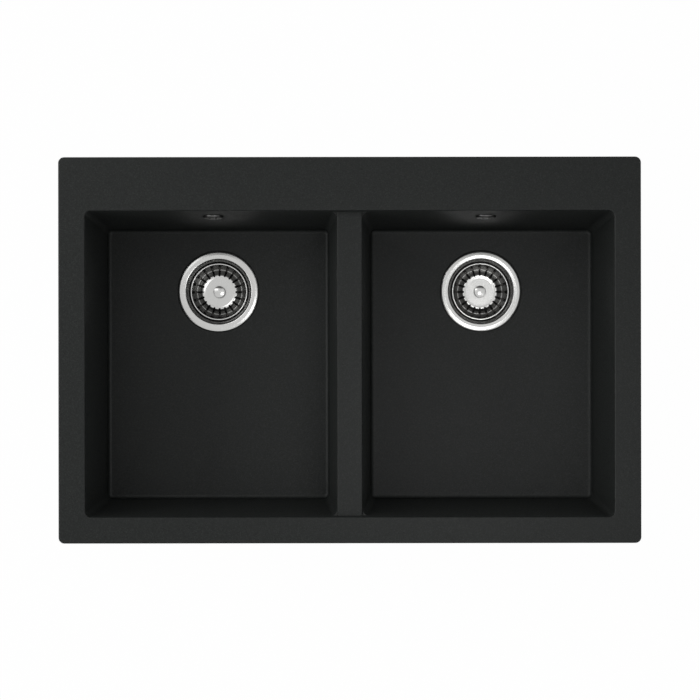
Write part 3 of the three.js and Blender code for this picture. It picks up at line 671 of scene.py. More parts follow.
class Graph(Tree):
    """Node tree of a material or of the world."""

    def __init__(self, owner: bpy.types.Material | bpy.types.World) -> None:
        """Gives the owner an empty tree."""
        owner.use_nodes = True
        super().__init__(owner.node_tree)
        self.tree.nodes.clear()
        self.material = owner

    def math(self, operation: str, *terms: Value | float) -> Value:
        """Result of a Math node over values and numbers."""
        return Value(self, self.node("Math", {"operation": operation}, dict(enumerate(terms))).outputs[0])

    def place(self, centre: Place = (0.0, 0.0, 0.0)) -> bpy.types.NodeSocket:
        """Object coordinates about a centre in millimetres."""
        coords = self.node("TexCoord").outputs["Object"]
        offset = tuple(-value * MM for value in centre)
        return self.node("Mapping", None, {"Vector": coords, "Location": offset}).outputs[0]

    def noise(self, place: bpy.types.NodeSocket, grain: float, detail: float = 2.0, rough: float = 0.5) -> Value:
        """Noise around 0.5.

        Args:
            place: coordinates.
            grain: size of its features, in millimetres.
            detail: finer layers in it.
            rough: strength of the finer layers.

        Returns:
            the noise.
        """
        made = self.node("TexNoise", None, {
            "Vector": place, "Scale": 1 / (grain * MM), "Detail": detail, "Roughness": rough})
        return Value(self, made.outputs[0])

    def tint(self, factor: Value, low: Color | bpy.types.NodeSocket,
             high: Color | bpy.types.NodeSocket) -> bpy.types.NodeSocket:
        """Colour between two others, each a fixed one or a socket's."""
        low, high = ((*tone, 1.0) if isinstance(tone, tuple) else tone for tone in (low, high))
        return self.node("Mix", {"data_type": "RGBA"}, {0: factor, 6: low, 7: high}).outputs[2]

    def bump(self, height: Value, depth: float, strength: float = 1.0) -> bpy.types.NodeSocket:
        """Normal over a height of a given depth in millimetres."""
        made = self.node("Bump", None, {"Height": height, "Distance": depth * MM, "Strength": strength})
        return made.outputs[0]

    def end(self, surface: bpy.types.Node) -> None:
        """Ends a material's tree in a shader."""
        self.node("OutputMaterial", None, {"Surface": surface.outputs[0]})

    def close(self, **sockets: object) -> bpy.types.Material:
        """Ends a material's tree in a Principled shader.

        Args:
            sockets: values of the shader's sockets, with underscores for spaces.

        Returns:
            the material.
        """
        inputs = {label.replace("_", " "): value for label, value in sockets.items()}
        self.end(self.node("BsdfPrincipled", None, inputs))
        return self.material


def painted(name: str) -> Graph:
    """Tree of a new material."""
    return Graph(bpy.data.materials.new(name))


def scaled(colour: Color, factor: float) -> Color:
    """Colour made darker or lighter."""
    return tuple(factor * value for value in colour)


@dataclass(frozen=True)
class StoneComposite:
    """Quartz grains in black resin: matt, finely speckled and slightly rough to the touch."""

    resin: Color = (0.0126, 0.0142, 0.0135)
    pale_grain: Color = (0.034, 0.037, 0.035)
    dark_grain: Color = (0.005, 0.0056, 0.0053)
    grain: float = 1.1
    fine_grain: float = 0.45
    specks: float = 2.6
    clouds: float = 60.0
    roughness: float = 0.46
    gloss: float = 0.19

    def material(self) -> bpy.types.Material:
        """Makes the material."""
        graph = painted("stone composite")
        place = graph.place()
        cells = graph.node("TexVoronoi", {"feature": "F1"}, {"Vector": place, "Scale": 1 / (self.grain * MM)})
        split = graph.node("SeparateColor", None, {0: cells.outputs["Color"]})
        chance = Value(graph, split.outputs[0])
        other = Value(graph, split.outputs[1])
        fine = graph.noise(place, self.fine_grain, 3.0, 0.6)
        cloud = graph.noise(place, self.clouds)
        speck = graph.noise(place, self.specks)
        pale = chance.above(0.80, 0.10) * (0.55 + other * 0.45)
        dark = graph.math("SUBTRACT", 1.0, chance.above(0.16, 0.10)) * 0.6
        base = graph.tint(cloud * 0.35 + speck * 0.45, self.resin, scaled(self.resin, 1.5))
        flecked = graph.tint(pale * 0.75, base, self.pale_grain)
        colour = graph.tint(dark, flecked, self.dark_grain)
        roughness = self.roughness + (fine - 0.5) * 0.22 + (other - 0.5) * 0.12
        height = fine * 0.5 + other * 0.5 + speck * 0.6
        return graph.close(Base_Color=colour, Roughness=roughness, Normal=graph.bump(height, 0.05, 0.5),
                           Specular_IOR_Level=self.gloss, IOR=1.5)


@dataclass(frozen=True)
class TurnedSteel:
    """Polished stainless steel with turning rings; a band round the axis is painted dark as shade, darker still deep
    down.
    """

    centre: Place
    # Radii of the band that is painted dark as shade.
    drawn: Pair = (0.0, 0.0)
    colour: Color = (0.53, 0.53, 0.52)
    # Painted shade: the dark tone of that band.
    skin: Color = (0.115, 0.115, 0.11)
    roughness: float = 0.19
    ring_pitch: float = 0.35
    smudges: float = 14.0
    shade_blur: float = 0.6
    hatch_lines: int = 150
    hatch_lean: float = 1.6
    # Below this depth the band is painted darker still, a painted shade deep in the hollow.
    stain_depth: float = 16.0
    stain: Color = (0.035, 0.034, 0.032)

    def material(self, name: str) -> bpy.types.Material:
        """Makes the material.

        Args:
            name: name of the material.

        Returns:
            the material.
        """
        graph = painted(name)
        place = graph.place(self.centre)
        parts = graph.node("SeparateXYZ", None, {0: place})
        x, y, z = (Value(graph, parts.outputs[i]) for i in range(3))
        radius = (x * x + y * y) ** 0.5
        across = graph.node("CombineXYZ", None, {0: radius, 1: z, 2: 0.0}).outputs[0]
        rings = graph.noise(across, self.ring_pitch, 3.0, 0.65)
        smudge = graph.noise(place, self.smudges, 3.0)
        tone = graph.tint(smudge, scaled(self.colour, 0.94), self.colour)
        roughness = self.roughness + (rings - 0.5) * 0.10 + (smudge - 0.5) * 0.08
        # Painted shade: a dark, hatched tone over the band between the two radii, darker still below a depth.
        inner, outer = self.drawn
        if outer > inner:
            blur = self.shade_blur * MM
            inside = radius.above(inner * MM, blur) * (1.0 - radius.above(outer * MM, blur))
            angle = graph.math("ARCTAN2", y, x) * self.hatch_lines + radius * (self.hatch_lean / MM)
            hatch = graph.math("SINE", angle) * 0.5 + 0.5
            dark = graph.tint(hatch * 0.5 + smudge * 0.5, scaled(self.skin, 0.6), scaled(self.skin, 1.5))
            dark = graph.tint((z * -1.0).above(self.stain_depth * MM, 4 * MM), dark, self.stain)
            tone = graph.tint(inside, tone, dark)
            roughness = roughness + inside * 0.06
        return graph.close(Base_Color=tone, Metallic=1.0, Roughness=roughness,
                           Normal=graph.bump(rings, 0.02, 0.25))


@dataclass(frozen=True)
class ZincPlate:
    """Bright zinc over rolled strip: pale, mottled with a duller tone, and with drawn lines."""

    colour: Color = (0.50, 0.51, 0.52)
    dull: Color = (0.40, 0.41, 0.43)
    spangles: float = 5.0
    drawn_lines: float = 0.25
    roughness: float = 0.30

    def material(self) -> bpy.types.Material:
        """Makes the material."""
        graph = painted("zinc plate")
        place = graph.place()
        spangle = graph.noise(place, self.spangles, 3.0)
        drawn = graph.node("Mapping", None, {"Vector": place, "Scale": (0.08, 1.0, 1.0)}).outputs[0]
        lines = graph.noise(drawn, self.drawn_lines)
        roughness = self.roughness + (spangle - 0.5) * 0.25 + (lines - 0.5) * 0.12
        return graph.close(Base_Color=graph.tint(spangle, self.dull, self.colour), Metallic=1.0,
                           Roughness=roughness, Normal=graph.bump(lines, 0.02, 0.3))


@dataclass(frozen=True)
class Moulded:
    """Moulded plastic or rubber with a fine spark-eroded grain and slight waves."""

    name: str
    colour: Color
    roughness: float
    grain: float
    depth: float
    waves: float = 18.0

    def material(self) -> bpy.types.Material:
        """Makes the material."""
        graph = painted(self.name)
        place = graph.place()
        grain = graph.noise(place, self.grain, 2.0, 0.6)
        wave = graph.noise(place, self.waves)
        tone = graph.tint(wave, scaled(self.colour, 0.86), scaled(self.colour, 1.14))
        roughness = self.roughness + (grain - 0.5) * 0.14 + (wave - 0.5) * 0.08
        return graph.close(Base_Color=tone, Roughness=roughness, Normal=graph.bump(grain, self.depth, 0.5))


# ---------------------------------------------------------------------------------------------------------------
# Pieces
# ---------------------------------------------------------------------------------------------------------------


@dataclass(frozen=True)
class Layout:
    """Sizes and places that the sink's pieces share."""

    sink_width: float = 780.0
    sink_length: float = 517.2
    rim_top: float = 9.0
    bowl_depth: float = 200.0
    side_rim: float = 35.8
    front_rim: float = 35.3
    tap_ledge: float = 72.0
    side_draft: float = 3.7
    end_draft: float = 4.35
    divider_width: float = 34.0
    divider_drop: float = 14.0
    wall: float = 8.0
    floor_thickness: float = 11.0
    floor_fall: float = 2.0
    drain_from_rear: float = 102.2
    overflow_drop: float = 55.0
    seat_gap: float = 0.3
    seat_depth: float = 2.6
    overflow_radius: float = 12.0
    clip_inset: float = 18.5
    clip_drop: float = 34.0
    clip_screw_radius: float = 2.5
    clip_screw_depth: float = 24.0
    rear_clips: float = 262.0
    side_clips_front: float = -150.0
    side_clips_rear: float = 115.0

    @property
    def side_slope(self) -> float:
        """Lean of the bowls' side walls."""
        return math.tan(math.radians(self.side_draft))

    @property
    def end_slope(self) -> float:
        """Lean of the bowls' front and rear walls."""
        return math.tan(math.radians(self.end_draft))

    @property
    def divider_top(self) -> float:
        """Height of the divider."""
        return self.rim_top - self.divider_drop

    @property
    def drain_top(self) -> float:
        """Height of the floor at the drain."""
        return self.rim_top - self.bowl_depth

    @property
    def rim_divider(self) -> float:
        """Distance between the two bowls at the rim's height."""
        return self.divider_width - 2 * self.divider_drop * self.side_slope

    @property
    def bowl_width(self) -> float:
        """Width of a bowl at the rim's top."""
        return (self.sink_width - 2 * self.side_rim - self.rim_divider) / 2

    @property
    def bowl_length(self) -> float:
        """Length of a bowl at the rim's top."""
        return self.sink_length - self.front_rim - self.tap_ledge

    @property
    def bowl_x(self) -> float:
        """Distance of a bowl's centre from the sink's."""
        return (self.rim_divider + self.bowl_width) / 2

    @property
    def bowl_y(self) -> float:
        """Place of the bowls' centres along the sink."""
        return -self.sink_length / 2 + self.front_rim + self.bowl_length / 2

    @property
    def bowl_rear(self) -> float:
        """Rear edge of the bowls."""
        return self.bowl_y + self.bowl_length / 2

    @property
    def bowl_front(self) -> float:
        """Front edge of the bowls."""
        return self.bowl_y - self.bowl_length / 2

    @property
    def drain_y(self) -> float:
        """Place of the drains along the sink."""
        return self.bowl_rear - self.drain_from_rear

    def drain(self, side: Side) -> Place:
        """Centre of a drain, at the floor."""
        return (side.value * self.bowl_x, self.drain_y, self.drain_top)

    def overflow(self, side: Side) -> Matrix:
        """Place of an overflow: z = 0 on the inside of the wall, +Z out of the bowl and +Y down the wall."""
        height = self.rim_top - self.overflow_drop
        middle = self.bowl_rear - self.overflow_drop * self.end_slope
        turn = Matrix.Rotation(math.radians(-90 - self.end_draft), 4, "X")
        return Matrix.Translation((side.value * self.bowl_x, middle, height)) @ turn


@dataclass
class Piece:
    """Finished object, the body that it rides on, its slot and the CAD nodes that it stands for."""

    thing: bpy.types.Object
    body: str
    slot: Slot
    nodes: tuple[str, ...]
    material: bpy.types.Material


class ClipPlace(Enum):
    """Worktop clips: screw's place, heading towards the worktop and heading when parked, in degrees."""

    FRONT_LEFT = (-1, "front", -90, 0)
    FRONT_RIGHT = (1, "front", -90, 180)
    REAR_LEFT = (-1, "rear", 90, 0)
    REAR_RIGHT = (1, "rear", 90, 180)
    LEFT_FRONT = (-1, "side front", 180, 90)
    LEFT_REAR = (-1, "side rear", 180, -90)
    RIGHT_FRONT = (1, "side front", 0, 90)
    RIGHT_REAR = (1, "side rear", 0, -90)

    @property
    def label(self) -> str:
        """Name of the clip in a piece's name."""
        return self.name.lower()

    @property
    def heading(self) -> float:
        """Heading towards the worktop."""
        return self.value[2]

    @property
    def parked(self) -> float:
        """Heading when parked."""
        return self.value[3]

    def spot(self, layout: Layout) -> Pair:
        """Place of the clip's screw.

        Args:
            layout: the sink's sizes.

        Returns:
            the screw's x and y.
        """
        sign, row = self.value[:2]
        side_x = sign * (layout.sink_width / 2 - layout.clip_inset)
        end_y = layout.sink_length / 2 - layout.clip_inset
        return {
            "front": (sign * layout.bowl_x, -end_y),
            "rear": (sign * layout.rear_clips, end_y),
            "side front": (side_x, layout.side_clips_front),
            "side rear": (side_x, layout.side_clips_rear),
        }[row]


@dataclass
class Casting:
    """The cast bowl unit: rim, two bowls, divider, drain seats, overflow holes, clip bosses and tap-hole blanks."""

    layout: Layout
    outline_radius: float = 8.0
    edge_radius: float = 2.0
    rim_foot: float = 0.6
    corner_radius: float = 8.0
    floor_fillet: float = 6.0
    outer_fillet: float = 14.0
    divider_thickness: float = 9.0
    divider_cover: float = 5.0
    seat_radius: float = 57.4
    seat_flare: float = 0.6
    seat_overlap: float = 4.0
    hole_radius: float = 46.0
    boss_radius: float = 7.0
    boss_web: float = 5.0
    boss_countersink: float = 1.0
    tap_radius: float = 17.5
    tap_depth: float = 5.0
    tap_spacing: float = 110.0
    corner_steps: int = 10
    side_steps: int = 8
    arc_steps: int = 6

    def rim(self) -> Form:
        """Plate of the rim with its rounded top edge."""
        plan = self.layout
        edge = arc(0, plan.rim_top - self.edge_radius, self.edge_radius, 0, 90, self.arc_steps)

        def outline(z: float, inset: float) -> list[Place]:
            """Outline of the rim at a height."""
            return rounded_ring(0, 0, z, plan.sink_width / 2 - inset, plan.sink_length / 2 - inset,
                                self.outline_radius - inset, self.corner_steps)

        foot = self.rim_foot
        return Form.loft([outline(0, foot), outline(foot * 0.3, foot * 0.3), outline(foot, 0),
                          *(outline(z, self.edge_radius - reach) for reach, z in edge)])

    def cavity(self, x: float, width: float) -> Form:
        """Inside of a bowl, from the drain's seat to above the rim.

        Args:
            x: centre of the bowl.
            width: width at the rim's top.

        Returns:
            the shape that is cut out.
        """
        plan = self.layout
        floor_top = plan.drain_top + plan.floor_fall

        def wall(z: float, inset: float) -> list[Place]:
            """Outline of the wall at a height, drawn in by an inset."""
            depth = plan.rim_top - z
            return rounded_ring(x, plan.bowl_y, z, width / 2 - depth * plan.side_slope - inset,
                                plan.bowl_length / 2 - depth * plan.end_slope - inset,
                                max(self.corner_radius - inset, self.edge_radius), self.corner_steps,
                                self.side_steps)

        tangent = (plan.side_draft + plan.end_draft) / 2
        fillet = arc(-self.floor_fillet, floor_top + self.floor_fillet, self.floor_fillet, -90, -tangent, 8)
        flare = arc(self.edge_radius, plan.rim_top - self.edge_radius, self.edge_radius, 180, 90, self.arc_steps)
        border = wall(floor_top, self.floor_fillet)
        start = self.seat_radius - self.seat_overlap
        floor: list[list[Place]] = []
        for share in (0.0, 0.25, 0.5, 0.75):
            ring: list[Place] = []
            for px, py, _ in border:
                away = Vector((px - x, py - plan.drain_y))
                spot = away.normalized() * (start + (away.length - start) * share)
                ring.append((x + spot.x, plan.drain_y + spot.y, plan.drain_top + plan.floor_fall * share))
            floor.append(ring)
        return Form.loft([
            *floor,
            *(wall(z, -reach) for reach, z in fillet),
            *(wall(z, -reach) for reach, z in flare),
            wall(plan.rim_top + 1, -self.edge_radius),
        ])

    def shell(self, x: float) -> Form:
        """Outside of a bowl, up into the rim's plate."""
        plan = self.layout

        def skin(z: float, inset: float) -> list[Place]:
            """Outline of the skin at a height, drawn in by an inset."""
            depth = plan.rim_top - z
            return rounded_ring(x, plan.bowl_y, z,
                                plan.bowl_width / 2 - depth * plan.side_slope + plan.wall - inset,
                                plan.bowl_length / 2 - depth * plan.end_slope + plan.wall - inset,
                                self.corner_radius + plan.wall - inset / 2, self.corner_steps)

        bottom = plan.drain_top - plan.floor_thickness
        fillet = arc(-self.outer_fillet, bottom + self.outer_fillet, self.outer_fillet, -90, 0, 8)
        return Form.loft([*(skin(z, -reach) for reach, z in fillet), skin(plan.rim_top / 2, 0)])

    def saddle(self) -> bpy.types.Object:
        """What is cut away above the divider: its ends follow the bowls' end walls, and it rounds the edges."""
        plan = self.layout
        radius = self.edge_radius
        edge = plan.divider_width / 2 + radius * plan.side_slope
        reach = edge + 2 * self.corner_radius
        foot = plan.divider_top - radius
        outline = [
            (-reach, foot),
            *arc(radius - edge, foot, radius, 180, 90, self.arc_steps),
            *arc(edge - radius, foot, radius, 90, 0, self.arc_steps),
            (reach, foot),
            (reach, plan.rim_top + radius),
            (-reach, plan.rim_top + radius),
        ]
        along = Form.prism(outline, -plan.bowl_rear - plan.wall, plan.wall - plan.bowl_front).spun(90, "X")
        thing = along.thing("saddle")
        carve(thing, [self.cavity(0, 2 * plan.bowl_width + plan.rim_divider)], Carve.KEEP)
        return thing

    def bosses(self) -> tuple[list[Form], list[Form]]:
        """Bosses with their webs, and the screw holes in them."""
        plan = self.layout
        top = plan.rim_top / 2 - 1
        foot = -plan.clip_drop
        drill = plan.clip_screw_radius + plan.seat_gap
        half = self.boss_web / 2
        post = Form.cylinder(self.boss_radius, foot, top, 40)
        web = Form.block((-plan.clip_inset, -half, foot + 0.01), (0, half, top + 0.4))
        hole = Form.turned([(0, foot - 1), (drill + self.boss_countersink, foot - 1), (drill, foot + 0.7),
                            (drill, foot + plan.clip_screw_depth), (0, foot + plan.clip_screw_depth + 1.2)], 24)
        solids: list[Form] = []
        holes: list[Form] = []
        for clip in ClipPlace:
            spot = clip.spot(plan)
            solids += [form.spun(clip.heading).shifted(*spot) for form in (post, web)]
            holes.append(hole.spun(clip.heading).shifted(*spot))
        return solids, holes

    def build(self, material: bpy.types.Material) -> list[Piece]:
        """Builds the casting.

        Args:
            material: its finish.

        Returns:
            the casting's piece.
        """
        plan = self.layout
        body = self.rim().thing("bowl_casting")
        half_length = plan.bowl_length / 2 + plan.wall / 2
        bridge = Form.block(
            (-plan.divider_width / 2, plan.bowl_y - half_length, plan.divider_top - self.divider_thickness),
            (plan.divider_width / 2, plan.bowl_y + half_length, plan.rim_top - self.divider_cover))
        bosses, holes = self.bosses()
        carve(body, [*(self.shell(side.value * plan.bowl_x) for side in Side), bridge, *bosses], Carve.JOIN)
        cuts: list[Form | bpy.types.Object] = [
            self.cavity(side.value * plan.bowl_x, plan.bowl_width) for side in Side]
        cuts.append(self.saddle())
        top, flare = plan.drain_top, self.seat_radius + self.seat_flare
        seat = Form.turned(eased([(0, top - plan.seat_depth), (self.seat_radius, top - plan.seat_depth, 0.8),
                                  (self.seat_radius, top - 0.4), (flare, top + 0.35), (flare, top + 3),
                                  (0, top + 3)], closed=False), 160)
        hole = Form.cylinder(self.hole_radius, top - plan.floor_thickness - 1, top, 160)
        overflow = Form.cylinder(plan.overflow_radius, -2 * plan.wall, 2 * plan.wall, 48)
        for side in Side:
            x = side.value * plan.bowl_x
            cuts += [seat.shifted(x, plan.drain_y), hole.shifted(x, plan.drain_y),
                     overflow.moved(plan.overflow(side))]
        blank_y = (plan.bowl_rear + plan.sink_length / 2) / 2
        recess = Form.turned(eased([(0, -1), (self.tap_radius, -1), (self.tap_radius, self.tap_depth, 0.8),
                                    (0, self.tap_depth)], closed=False), 64)
        cuts += [recess.shifted(step * self.tap_spacing, blank_y) for step in (-1, 0, 1)]
        carve(body, [*cuts, *holes])
        finish(body, sharp=32)
        return [Piece(body, "root", Slot.GRANITE, ("sink_body",), material)]


@dataclass
class Fitting:
    """What is fitted at one bowl."""

    layout: Layout
    side: Side

    @property
    def label(self) -> str:
        """Name of the bowl's side."""
        return self.side.label


@dataclass
class DrainFitting(Fitting):
    """What is fitted at a drain, with the cup's sizes. Heights are measured from the floor at the drain."""

    flange_radius: float = 56.2
    cup_depth: float = 44.0
    dimple_depth: float = 4.0
    shank_radius: float = 6.0

    @property
    def place(self) -> Matrix:
        """Place of the drain, in millimetres."""
        return Matrix.Translation(self.layout.drain(self.side))

    def seated(self, form: Form, name: str) -> bpy.types.Object:
        """Object of a shape at the drain."""
        return form.moved(self.place).thing(f"{self.label}_{name}")


@dataclass
class Strainer(DrainFitting):
    """Basket strainer: cup, slotted basket with its knob, stem and stopper."""

    throat_radius: float = 46.0
    cone_radius: float = 41.0
    cone_foot: float = 14.0
    throat_edge: float = 1.2
    cup_radius: float = 39.0
    cup_bend: float = 6.0
    sheet: float = 1.0
    dimple_radius: float = 11.5
    outlets: int = 6
    outlet_width: float = 9.0
    outlet_inner: float = 16.0
    outlet_outer: float = 28.0
    rim_radius: float = 40.2
    rim_depth: float = 12.0
    rim_height: float = 1.6
    wall_radius: float = 38.0
    basket_depth: float = 36.0
    groove_radius: float = 31.54
    crest_radius: float = 23.18
    crest_rise: float = 5.0
    basket_dish: float = 0.5
    dish_width: float = 3.8
    basket_sheet: float = 0.8
    slots: int = 20
    slot_width: float = 2.9
    slot_inner: float = 22.38
    slot_outer: float = 36.4
    knob_radius: float = 8.2
    knob_height: float = 12.5
    knob_neck: float = 4.2
    knob_dome: float = 1.3
    stem_radius: float = 3.0
    catch_radius: float = 3.6
    stem_length: float = 24.5
    stopper_radius: float = 31.0
    stopper_thickness: float = 3.0
    stopper_ring: float = 17.0
    stopper_ring_depth: float = 0.4
    segments: int = 160
    # Painted shade on the basket: its tone, and how far outside the crest it starts.
    basket_painted_shade: Color = (0.19, 0.19, 0.185)
    shade_margin: float = 1.6

    def cup(self, slots: RadialSlots) -> bpy.types.Object:
        """Pressed cup: a crowned flange, a conical throat, a straight wall and a bottom with a dimple and outlets."""
        sheet = self.sheet
        hole = self.shank_radius + self.layout.seat_gap
        cone_in, cup_in = self.cone_radius, self.cup_radius
        profile = eased([
            (self.flange_radius, -sheet, 0.25),
            (self.flange_radius, -0.35, 0.45),
            (self.flange_radius - 1.6, 0.22, 1.5),
            ((self.flange_radius + self.throat_radius) / 2, 0.6, 10.0),
            (self.throat_radius + 0.5, 0.22, 2.5),
            (self.throat_radius - self.throat_edge, -1.6, 2.0),
            (cone_in, -self.cone_foot, 1.5),
            (cup_in, -self.cone_foot - sheet, 1.0),
            (cup_in, -self.cup_depth, self.cup_bend),
            (self.dimple_radius, -self.cup_depth, 0.8),
            (self.dimple_radius - sheet, -self.cup_depth - self.dimple_depth, 0.8),
            (hole, -self.cup_depth - self.dimple_depth),
            (hole, -self.cup_depth - self.dimple_depth - sheet),
            (self.dimple_radius, -self.cup_depth - self.dimple_depth - sheet, 1.2),
            (self.dimple_radius + sheet, -self.cup_depth - sheet, 0.6),
            (cup_in + sheet, -self.cup_depth - sheet, self.cup_bend + sheet),
            (cup_in + sheet, -self.cone_foot - 2 * sheet, 0.8),
            (cone_in + sheet, -self.cone_foot - 0.4 * sheet, 1.5),
            (self.throat_radius - 0.7, -3.2, 1.5),
            (self.throat_radius + 0.4, -sheet, 0.6),
        ], steps=7)
        thing = self.seated(Form.turned(profile, self.segments), "cup")
        holes = slots.cutter(self.outlets, self.outlet_width, self.outlet_inner, self.outlet_outer,
                             -self.cup_depth - sheet - 1, -self.cup_depth + 1)
        self.pierce(thing, holes)
        return finish(thing, sharp=40)

    def pierce(self, thing: bpy.types.Object, holes: bpy.types.Object) -> None:
        """Cuts holes, which were made about the origin, through a piece at the drain."""
        holes.data.transform(Matrix.Translation([value * MM for value in self.layout.drain(self.side)]))
        carve(thing, [holes])

    @property
    def middle_depth(self) -> float:
        """Depth of the middle of the basket's bottom."""
        return self.basket_depth - self.crest_rise + self.basket_dish

    def dish(self, offset: float, steps: int = 16) -> list[Pair]:
        """Curve that the basket is turned from.

        Args:
            offset: distance outwards from the inside of the sheet.
            steps: chords of the wall's curve.

        Returns:
            points down the wall, through the groove, up the shoulder and over the crest to the middle.
        """
        shoulder = -self.rim_depth - self.rim_height
        reach = self.wall_radius - self.groove_radius + offset
        drop = self.basket_depth + shoulder + offset
        wall = [(self.groove_radius + reach * math.cos(a), shoulder - drop * math.sin(a))
                for a in (math.pi / 2 * i / steps for i in range(steps + 1))]
        run = self.groove_radius - self.crest_radius
        bottom = -self.basket_depth - offset
        crest = -self.basket_depth + self.crest_rise - offset
        slope = [(self.groove_radius - run * share, bottom + self.crest_rise * smooth(share))
                 for share in (i / steps for i in range(1, steps + 1))]
        hollow = [(self.crest_radius - self.dish_width * share, crest - self.basket_dish * smooth(share))
                  for share in (i / 8 for i in range(1, 9))]
        return [*wall, *slope, *hollow]

    def basket(self, slots: RadialSlots) -> bpy.types.Object:
        """Basket: a rolled rim over a bowl with a raised middle and radial slots."""
        top = -self.rim_depth
        foot = top - self.rim_height
        hole = self.stem_radius + self.layout.seat_gap
        roll = eased([(self.rim_radius, foot + 0.2, 0.3), (self.rim_radius, top, 0.6),
                      (self.wall_radius + 0.5, top, 0.6), (self.wall_radius, foot, 0.3)], 5, closed=False)
        profile = [(self.rim_radius, foot + 0.2), *roll[1:-1], *self.dish(0.0), (hole, -self.middle_depth),
                   (hole, -self.middle_depth - self.basket_sheet), *reversed(self.dish(self.basket_sheet))]
        thing = self.seated(Form.turned(profile, self.segments, 180 / self.segments), "sieve")
        holes = slots.cutter(self.slots, self.slot_width, self.slot_inner, self.slot_outer,
                             -self.basket_depth - 2 * self.basket_sheet, foot)
        self.pierce(thing, holes)
        return finish(thing, sharp=35)

    def knob(self) -> bpy.types.Object:
        """Domed knob on its neck, on the middle of the basket's bottom."""
        foot = -self.middle_depth + self.layout.seat_gap
        top = foot + self.knob_height
        dome = self.knob_dome
        edge = top - dome
        ball = (self.knob_radius ** 2 + dome ** 2) / (2 * dome)
        reach = math.asin(self.knob_radius / ball)
        cap = [(ball * math.sin(a), top - ball * (1 - math.cos(a))) for a in (reach * i / 10 for i in range(8, 0, -1))]
        profile = [
            (0, foot), (self.knob_neck + 2, foot), (self.knob_neck + 2, foot + 0.4),
            *eased([(self.knob_neck + 2, foot + 0.4), (self.knob_neck, foot + 1.5, 1.5),
                    (self.knob_neck, edge - 4, 2.0), (self.knob_radius - 0.8, edge - 1.8, 0.8),
                    (self.knob_radius, edge - 0.8, 0.5), (self.knob_radius, edge, 0.9), cap[0]],
                   5, closed=False)[1:],
            *cap[1:],
            (0, top),
        ]
        return finish(self.seated(Form.turned(profile, 64), "lift_knob"), sharp=40)

    def stem(self) -> bpy.types.Object:
        """Stem through the basket's bottom: two collars hold the stopper, and the catch is at its lower end."""
        top = -self.middle_depth
        gap = self.layout.seat_gap
        collar = top - self.basket_sheet - gap
        bottom = -self.cup_depth + gap
        stopper_top = bottom + self.stopper_thickness + gap
        flange = bottom + 1 - gap
        end = top - self.stem_length
        radius = self.stem_radius
        profile = eased([
            (0, end), (radius - 1, end, 0.5), (self.catch_radius, end + 2, 0.6), (self.catch_radius, end + 3.5, 0.6),
            (radius, end + 5, 0.5), (radius, flange - 1.1, 0.1), (2 * radius, flange - 1.1, 0.2),
            (2 * radius, flange, 0.2), (radius, flange, 0.1), (radius, stopper_top, 0.1),
            (2.4 * radius, stopper_top, 0.3), (2.4 * radius, collar, 0.3), (radius, collar, 0.1), (radius, top, 0.3),
            (0, top),
        ], 3, closed=False)
        return finish(self.seated(Form.turned(profile, 48), "lift_stem"), sharp=40)

    def stopper(self) -> bpy.types.Object:
        """Rubber stopper: a disc that turns down to a lip on the cup's bottom."""
        hole = self.stem_radius + self.layout.seat_gap
        bottom = -self.cup_depth + self.layout.seat_gap
        top = bottom + self.stopper_thickness
        ring, dent = self.stopper_ring, top - self.stopper_ring_depth
        profile = eased([
            (hole, bottom + 1, 0.1), (self.outlet_outer, bottom + 1, 1.0), (self.stopper_radius - 1.5, bottom, 0.3),
            (self.stopper_radius, bottom, 0.3), (self.stopper_radius, bottom + 1, 0.4),
            (self.outlet_outer, top, 2.0), (ring + 1, top, 0.3), (ring + 0.6, dent, 0.3), (ring - 0.6, dent, 0.3),
            (ring - 1, top, 0.3), (hole, top, 0.1),
        ], 4)
        return finish(self.seated(Form.turned(profile, 96), "plug_disc"), sharp=40)

    def build(self, slots: RadialSlots, steel: bpy.types.Material, rubber: bpy.types.Material) -> list[Piece]:
        """Builds the strainer.

        Args:
            slots: tree that makes the slots' cutters.
            steel: finish of the knob and the stem.
            rubber: finish of the stopper.

        Returns:
            the strainer's pieces.
        """
        name = self.label
        drain = self.layout.drain(self.side)
        # Painted shade: the cup is darkened inside its throat and the basket between its crest and its wall, the cup
        # darker still deep inside.
        throat = TurnedSteel(drain, (-1.0, self.throat_radius - self.throat_edge)).material(f"{name} cup steel")
        sieve = TurnedSteel(drain, (self.crest_radius + self.shade_margin, self.wall_radius), skin=self.basket_painted_shade,
                            stain_depth=self.cup_depth + 2).material(f"{name} basket steel")
        return [
            Piece(self.cup(slots), "root", Slot.STEEL, (f"{name}_strainer_cup",), throat),
            Piece(self.basket(slots), f"{name}_basket", Slot.STEEL, (f"{name}_basket",), sieve),
            Piece(self.knob(), f"{name}_basket", Slot.STEEL, (f"{name}_basket_knob",), steel),
            Piece(self.stem(), f"{name}_stem", Slot.STEEL, (f"{name}_basket_stem",), steel),
            Piece(self.stopper(), f"{name}_stem", Slot.RUBBER, (f"{name}_basket_stopper",), rubber),
        ]


